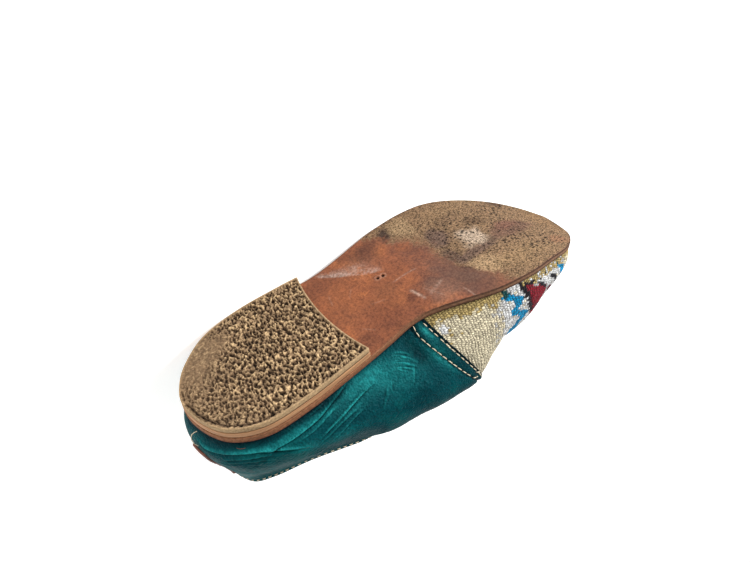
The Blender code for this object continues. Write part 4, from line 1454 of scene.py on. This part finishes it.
# %% Marks on the outsole's underside
NAIL_HOLES = ((127.1, -10.0), (130.4, -9.3))
WORN_FROM = (  # y, x where the burnish ends
    (-48, 137), (-40, 143), (-35, 148), (-28, 151), (-22, 160), (-12, 165), (5, 166), (12, 164), (18, 167),
    (27, 172), (35, 179), (45, 184),
)
NAP_STAINS = (  # colour, strength, x, y, half length along x, half width along y, turn
    ("#9A7F60", 0.9, 180, 24, 11, 10, 0), ("#8C7152", 0.6, 207, 31, 24, 9, 0),
    ("#5C4840", 0.75, 187, 12.5, 21, 4.5, -2), ("#4E3C34", 0.75, 171, 6, 6, 9, 0),
    ("#AA9682", 0.95, 193, 0.5, 10, 9, 0), ("#5F4B42", 0.85, 176, -12, 7, 9, 20),
    ("#654A3D", 0.85, 220, 7, 17, 8, 0), ("#704B3E", 0.5, 221, 2, 8, 5, 0),
    ("#3F3029", 0.9, 151, -35, 4.5, 10, 42), ("#967C5D", 0.8, 165, -35, 8, 10, 0),
    ("#55402F", 0.6, 207, -11, 6, 4, 20), ("#44322A", 0.7, 238, -22, 5, 3, 30),
    ("#8A6048", 0.5, 240, 30, 7, 5, 0), ("#846A4E", 0.5, 205, -32, 24, 8, 0),
    ("#6E4A39", 0.8, 168, 34, 7, 7, 0), ("#45302A", 0.8, 168, 20, 3.5, 8, -35),
    ("#7E6246", 0.6, 254, 5, 8, 18, 0), ("#5A4636", 0.4, 190, -22, 14, 4, -15),
)
SHANK_STAINS = (  # the same, with how glossy the place stays
    ("#915534", 0.85, 94, -12, 24, 26, 0, 0.15), ("#8A5030", 0.6, 155, -19, 8, 5, 0, 0.2),
    ("#8C5433", 0.5, 124, 3, 11, 9, 0, 0.2), ("#5E4033", 0.75, 163, 20, 11, 20, 0, 0.4),
    ("#5C4033", 0.8, 169, 37, 15, 12, 0, 0.5),
    ("#85604F", 0.6, 148, 25, 10, 10, 0, 0.4), ("#5F3A30", 0.45, 158, 12, 6, 9, 20, 0.4),
    ("#3F2017", 0.7, 130.5, 16, 3, 3.2, 0, 0.4), ("#6B3D2E", 0.5, 160, 36, 12, 7, 0, 0.4),
    ("#8D6452", 0.35, 126, -24, 9, 8, 0, 0.4), ("#5C3426", 0.45, 100, -30, 14, 9, 0, 0.3),
    ("#4A2B20", 0.5, 140, -38, 10, 5, -20, 0.5), ("#5C3526", 0.5, 96, 22, 8, 9, 0, 0.3),
    ("#6B3A27", 0.45, 116, 15, 18, 12, 0, 0.3), ("#5A3627", 0.75, 134, -33, 17, 9, 0, 0.35),
    ("#5A4136", 0.55, 160, 20, 19, 17, 0, 0.4), ("#64392A", 0.4, 126, 23, 12, 9, 0, 0.3),
)
SCRATCHES = (  # path, strength, half width
    (((134, 10), (135.3, 16), (136.5, 23)), 0.8, 0.9), (((130, -1), (140, -0.6), (149, 0.3)), 0.4, 0.5),
    (((157, 29), (157.6, 35), (157.8, 41)), 0.4, 0.5), (((139, 22), (148, 19), (154, 17)), 0.3, 1.0),
    (((98, 12), (104, 19)), 0.2, 0.4), (((112, 2), (121, 6)), 0.2, 0.4), (((106, -10), (112, -16)), 0.2, 0.4),
    (((140, 14), (146, 29)), 0.2, 0.5), (((96, -12), (99, -22)), 0.2, 0.4),
)


def outsole_relief(x, y, from_edge):
    """Lift and marks of the worn underside; lift is towards the foot."""
    broad = soft_noise(x, y, 7.0, 43, 3)
    grain = soft_noise(x, y, 1.1, 41, 3)
    burnish_ends = np.interp(y, *np.array(WORN_FROM, float).T) + 2.0 * soft_noise(x, y, 6.0, 30, 3)
    worn = smoothstep(burnish_ends - 6.0, burnish_ends + 6.0, x + 3.0 * grain)
    lift = (0.03 + 0.24 * worn) * grain + 0.22 * soft_noise(x, y, 24.0, 45, 2)
    lift += 0.35 * blot(x, y, 190, 0, 26, 20) + 0.2 * blot(x, y, 226, 20, 18, 12)
    tint = np.tile(linear("#7D634A"), (len(x), 1))
    rough = 0.95 * worn
    tinted = worn.copy()

    def stain(colour, amount):
        amount = np.clip(amount, 0.0, 1.0)[:, None]
        tint[:] = tint * (1.0 - amount) + np.array(linear(colour)) * amount

    def mark(amount, colour, gloss):
        """A stain, scuff or painted highlight that also covers burnished leather: over what is there, by its
        own share.
        """
        amount = np.clip(amount, 0.0, 1.0)
        both = amount + tinted * (1.0 - amount)
        stain(colour, amount / np.maximum(both, 1e-6))
        tinted[:] = both
        rough[:] = rough * (1.0 - amount) + gloss * amount

    for colour, strength, *place in NAP_STAINS:
        patch = blot(x, y, *place)
        stain(colour, strength * smoothstep(0.12, 0.75, patch + 0.22 * broad * smoothstep(0.0, 0.3, patch)))
    for colour, strength, *place, gloss in SHANK_STAINS:
        patch = blot(x, y, *place)
        spread = smoothstep(0.05, 0.95, patch + 0.25 * broad * smoothstep(0.0, 0.3, patch))
        mark(strength * spread * (1.0 - worn), colour, gloss)

    # the heel-side edge of the pale scuff is sharp, the other side fades out
    away, side, share = beside_path(x, y, ((103, -38), (112, -29), (118, -24), (124, -18.5), (129, -15)))
    width = 2.2 + 5.0 * blot(share, 0 * share, 0.6, 0, 0.3, 1)
    scuff = np.where(side < 0, np.exp(-((away / width) ** 2)), np.exp(-((away / 0.7) ** 2)))
    mark(0.6 * scuff * (0.7 + 0.5 * broad + 0.45 * grain), "#BBA79B", 0.6)
    for path, strength, half in SCRATCHES:
        away, _, share = beside_path(x, y, path)
        thin = np.exp(-((away / half) ** 2)) * smoothstep(0, 0.2, share) * smoothstep(0, 0.2, 1 - share)
        mark(strength * thin * (0.8 + 0.4 * grain), "#B99C8A", 0.6)
        lift += 0.06 * thin
    # each nail hole is pressed in and painted nearly black, and a painted highlight rings its burr
    for at_x, at_y in NAIL_HOLES:
        away = np.hypot(x - at_x, y - at_y)
        lift += 0.9 * (1.0 - smoothstep(0.6, 1.1, away)) - 0.3 * np.exp(-(((away - 1.55) / 0.4) ** 2))
        mark(1.0 - smoothstep(0.7, 1.2, away), "#120806", 0.8)
        mark(0.7 * np.exp(-(((away - 1.7) / 0.45) ** 2)), "#A0745E", 0.5)
    mark(0.55 * (1.0 - smoothstep(0.3, 1.4, from_edge)) * (0.7 + 0.3 * broad), "#6E4A35", 0.6)
    specks = 0.17 + 0.22 * blot(x, y, 222, 26, 24, 11) + 0.17 * blot(x, y, 190, -8, 22, 16)
    specks += 0.20 * blot(x, y, 228, -14, 20, 12) + 0.15 * blot(x, y, 208, 14, 14, 4)
    lift *= smoothstep(0.0, 1.5, from_edge)
    return lift, {"tint": tint, "tinted": tinted, "rough": rough, "nap": worn, "specks": specks * worn}


def outsole_edge(x, rise):
    """Marks of the cut edge: tan, red-brown above at heel and waist; in front, dark rim below, painted shadow
    above.
    """
    ahead = smoothstep(95.0, 150.0, x)[:, None]
    upper = smoothstep(2.2, 3.2, rise)
    back_colour = np.array(linear("#8E6044")) * (1 - upper) + np.array(linear("#744430")) * upper
    # in front: a dark burnished rim at the bottom and painted shadow at the top, where the upper meets the
    # edge
    rims = 1.0 - smoothstep(0.4, 0.9, rise) * (1.0 - smoothstep(2.2, 3.0, rise))
    front_colour = np.array(linear("#86624A")) * (1 - rims) + np.array(linear("#452C20")) * rims
    count = len(x)
    return {
        "tint": back_colour * (1 - ahead) + front_colour * ahead, "tinted": np.ones(count),
        "rough": np.full(count, 0.7), "nap": np.full(count, 0.15), "specks": np.zeros(count),
    }


def as_shares(values):
    """Rising stations as shares of the whole, from 0 to 1, each of them once."""
    return np.unique(np.round((values - values[0]) / (values[-1] - values[0]), 6))


tip = 7.0 * (1.0 - np.cos(np.linspace(0.0, math.pi / 2, 18)))
fine_x = np.r_[
    tip, np.arange(9.0, 84.0, 2.6), np.arange(84.0, 124.0, 0.5), np.arange(124.0, 133.5, 0.22),
    np.arange(133.5, 252.6, 0.52), 260.0 - tip[::-1],
]
across = np.r_[np.linspace(0, 0.40, 64)[:-1], np.linspace(0.40, 0.53, 52)[:-1], np.linspace(0.53, 1, 76)]
EDGE = 0.6
sole_loop = OUTLINE - outward(OUTLINE) * EDGE
outsole_rings = (
    (EDGE, 0.0), (0.18, 0.18), (0.0, 0.6), (0.06, 1.3), (0.16, 1.9), (0.06, 2.5), (0.0, 3.4), (0.18, 3.82),
    (EDGE, 4.0),
)
outsole = slab(
    "outsole_leather", as_shares(fine_x), across, sole_loop, lambda s: np.full_like(s, sole_loop[:, 0].max()),
    outsole_relief, outsole_edge, outsole_rings, under_sole_z, SOLE,
)

# %% [markdown]
# ## Heel
#
# The heel is two layers: a leather lift and a crepe rubber top piece, both cut to the sole's edge and to a
# shallow arc at the breast. The crepe's crumbs are two to three millimetres across and a millimetre deep,
# far too coarse for bump, so they are carved. They are worn flat at the back outer corner, where the foot
# lands, and a little right behind.


# %% Heel lift and crepe top piece
def breast_x(share):
    """The breast's arc: straight between the corners, less a parabola."""
    return HEEL_BREAST_X - HEEL_BREAST_HOLLOW * 4.0 * share * (1.0 - share)


def flat_relief(x, y, from_edge):
    """No relief and no marks, for an underside that is covered."""
    return np.zeros(len(x)), {}


def crepe_relief(x, y, from_edge):
    """Thin crumbs where a noise passes through zero, pits round scattered points; fewer where worn."""
    bent_x = x + 0.6 * soft_noise(x, y, 1.5, 61, 2)
    bent_y = y + 0.8 * soft_noise(x, y, 1.7, 62, 2)
    large = cell_distance(bent_x * 1.3, bent_y * 0.75, 2.45, 63)
    small = cell_distance(bent_x * 1.2, bent_y * 0.8, 1.6, 68)
    pit = np.maximum(1.0 - smoothstep(0.12, 0.46, large), 0.7 * (1.0 - smoothstep(0.08, 0.36, small)))
    crumb = (1.0 - smoothstep(0.0, 0.55, np.abs(soft_noise(bent_x * 1.3, bent_y * 0.75, 1.6, 67, 2)))) ** 1.5
    fine = soft_noise(x, y, 1.0, 66, 2)
    worn_at = 1.3 * blot(x, y, 14, -28, 26, 16) + 0.5 * blot(x, y, 7, -2, 15, 22)
    keep = 1.0 - 0.88 * smoothstep(0.25, 1.0, worn_at + 0.12 * soft_noise(x, y, 6.0, 70, 2))
    rim = smoothstep(0.3, 1.3, from_edge)
    keep = keep * rim * (0.62 + 0.38 * smoothstep(15.0, 50.0, x))
    deep = 1.7 * pit + 0.35 * (1.0 - crumb) + 0.12 * (1.0 + fine)
    groove = np.exp(-(((from_edge - 1.7) / 0.4) ** 2))
    groove = groove * (1.0 - smoothstep(25.0, 50.0, x)) * smoothstep(-5.0, 15.0, y)
    lift = keep * deep + 0.08 * (1.0 + soft_noise(x, y, 2.0, 75, 3)) * rim + 0.25 * np.minimum(worn_at, 1.0)
    lift += 0.4 * groove
    # depth sets the crepe's colour: pits and the rim groove painted dark as grit and painted shadow, crumb
    # tops painted light as a highlight
    depth = 0.31 + keep * (0.95 * pit**1.3 - 0.28 * crumb - 0.04) + 0.5 * groove
    depth += 0.14 * (1.0 - keep) * soft_noise(x, y, 0.9, 71, 2)
    depth = 0.17 + (np.clip(depth, 0.0, 1.0) - 0.17) * smoothstep(0.2, 0.8, from_edge)
    return np.maximum(lift, 0.0) * smoothstep(0.0, 0.8, from_edge), {"depth": depth}


LIFT_INSET, TOP_INSET = 0.3, 0.6
lift_edge, crepe_edge = 0.3, 0.5
ladder = as_shares(np.r_[tip, np.arange(8.0, 91.0, 1.5)])
heel_lift = slab(
    "heel_lift_leather", ladder, np.linspace(0, 1, 30),
    OUTLINE - outward(OUTLINE) * (LIFT_INSET + lift_edge),
    lambda s: breast_x(s) - LIFT_INSET - lift_edge, flat_relief, lambda x, rise: {},
    ((lift_edge, 0.0), (0.05, 0.12), (0.0, 0.35), (0.1, 1.6), (0.0, 2.9), (0.1, 3.1), (lift_edge, 3.2)),
    lambda x: np.full_like(x, TOP_PIECE_THICKNESS + GAP), LIFT,
)
crepe_tip = 5.0 * (1.0 - np.cos(np.linspace(0.0, math.pi / 2, 20)))
crepe_x = as_shares(np.r_[crepe_tip, np.arange(5.4, 91.0, 0.36)])
top_piece = slab(
    "crepe_top_piece", crepe_x, np.linspace(0, 1, 216),
    OUTLINE - outward(OUTLINE) * (TOP_INSET + crepe_edge),
    lambda s: breast_x(s) - TOP_INSET - crepe_edge, crepe_relief,
    lambda x, rise: {"depth": np.full(len(x), 0.16)},
    ((crepe_edge, 0.0), (0.14, 0.14), (0.0, 0.5), (0.0, 2.8), (0.1, 3.1), (crepe_edge, 3.2)),
    lambda x: np.zeros_like(x), CREPE,
)

# %% [markdown]
# ## Fix the pieces to the shoe
#
# Nothing on this shoe moves, so every piece rides on the one body. Pieces that stand for an imported solid
# hide it. The insole keeps its imported shape and gets the lining's leather.

# %% Riding and replacing
for piece, nodes, slot in (
    (vamp, ("upper",), None),
    (quarters, ("upper", "quarter_band_inner", "quarter_band_outer"), "green leather"),
    (lining, (), "lining leather"),
    (stitches, (), None),
    (strip, ("back_seam_strip",), "lift leather"),
    (loop, (), None),
    (brown_stitch, (), "lift leather"),
    (outsole, ("outsole",), "sole leather"),
    (heel_lift, ("heel_lift",), "lift leather"),
    (top_piece, ("heel_top_piece",), "crepe rubber"),
):
    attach(piece, "root")
    if nodes:
        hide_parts(*nodes)
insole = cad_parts["insole"]
insole.data.materials.clear()
insole.data.materials.append(LINING)

# %% [markdown]
# ## Floor, light and camera
#
# A sheet of pale paper that sweeps up far away on all sides, one soft light from the toe end and above, a
# weaker one from the heel end, and a pale sky. The paper glows a little, as paper lit from below does. The
# camera looks at the sole from low down and is rolled, so that the shoe is seen upside down, sole up.

# %% Floor
radius = np.r_[0.0, np.linspace(1.2, 4.0, 29)]
turn = np.linspace(0.0, 2 * math.pi, 97)[:-1]
ring_x, ring_y = np.outer(radius[1:], np.cos(turn)), np.outer(radius[1:], np.sin(turn))
ring_z = np.repeat(0.45 * np.clip(radius[1:, None] - 1.3, 0.0, None) ** 2, len(turn), axis=1)
rings = np.stack([ring_x, ring_y, ring_z], axis=-1).reshape(-1, 3)
numbers = np.arange(len(rings)).reshape(len(radius) - 1, len(turn)) + 1
turned = np.roll(numbers, -1, axis=1)
sweep = [[0, a, b] for a, b in zip(numbers[0].tolist(), turned[0].tolist())]
sweep += np.stack([numbers[:-1], numbers[1:], turned[1:], turned[:-1]], axis=-1).reshape(-1, 4).tolist()
floor_mesh = bpy.data.meshes.new("floor")
floor_mesh.from_pydata(np.vstack([[0.0, 0.0, 0.0], rings]).tolist(), [], sweep)
floor_mesh.shade_smooth()
floor = bpy.data.objects.new("floor", floor_mesh)
bpy.context.scene.collection.objects.link(floor)
paper, shader, place = start_material("pale_paper_sweep")
fill(shader, {
    "Base Color": rgba("#F6F6F4"), "Roughness": 0.9, "Emission Color": rgba("#FFFFFF"),
    "Emission Strength": 0.45,
})
floor.data.materials.append(paper)
floor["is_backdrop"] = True

# %% Lights and sky
world = bpy.data.worlds.new("pale_sky")
bpy.context.scene.world = world
world.use_nodes = True
world.node_tree.nodes["Background"].inputs["Color"].default_value = rgba("#FAFAFA")
world.node_tree.nodes["Background"].inputs["Strength"].default_value = 0.33


def soft_light(name, place, target, size, watts):
    data = bpy.data.lights.new(name, "AREA")
    data.size = size
    data.energy = watts
    light = bpy.data.objects.new(name, data)
    away = np.array(place) - np.array(target)
    light.location = place
    light.rotation_euler = (
        0.0, math.acos(away[2] / np.linalg.norm(away)), math.atan2(away[1], away[0])
    )
    bpy.context.scene.collection.objects.link(light)


soft_light("key", (0.80, 0.52, 0.55), (0.0, 0.0, 0.03), 0.26, 16.0)
soft_light("fill", (-0.70, 0.45, 0.55), (0.0, 0.0, 0.03), 0.8, 2.5)
bpy.context.scene.view_settings.view_transform = "Standard"

# %% Camera
LENS, SENSOR = 26.88, 36.0
CAMERA_TURN, CAMERA_RISE, CAMERA_ROLL = 121.01, 32.02, -129.28
CAMERA_AWAY = 0.3354
LOOK_AT = np.array([0.00074, 0.02463, 0.0315])


def camera_axes(turn, rise, roll):
    """Right, up and back of a camera seen from a compass turn and a height angle, rolled about its axis."""
    a, e, r = (math.radians(v) for v in (turn, rise, roll))
    back = np.array([math.cos(a) * math.cos(e), math.sin(a) * math.cos(e), math.sin(e)])
    level = np.cross([0.0, 0.0, 1.0], back)
    level /= np.linalg.norm(level)
    upright = np.cross(back, level)
    up = upright * math.cos(r) + level * math.sin(r)
    return np.cross(up, back), up, back


right, up, back = camera_axes(CAMERA_TURN, CAMERA_RISE, CAMERA_ROLL)
camera_data = bpy.data.cameras.new("camera")
camera_data.lens = LENS
camera_data.sensor_width = SENSOR
camera = bpy.data.objects.new("camera", camera_data)
matrix = np.eye(4)
matrix[:3, 0], matrix[:3, 1], matrix[:3, 2] = right, up, back
matrix[:3, 3] = LOOK_AT + back * CAMERA_AWAY
camera.matrix_world = Matrix(matrix.tolist())
bpy.context.scene.collection.objects.link(camera)
bpy.context.scene.camera = camera
print("camera at", matrix[:3, 3].round(3))

# %% Sizes, then finish
look_low, look_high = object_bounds()
below, above = cad_low - look_low, look_high - cad_high
print("grows by", [round(v / MM, 1) for v in below], [round(v / MM, 1) for v in above])
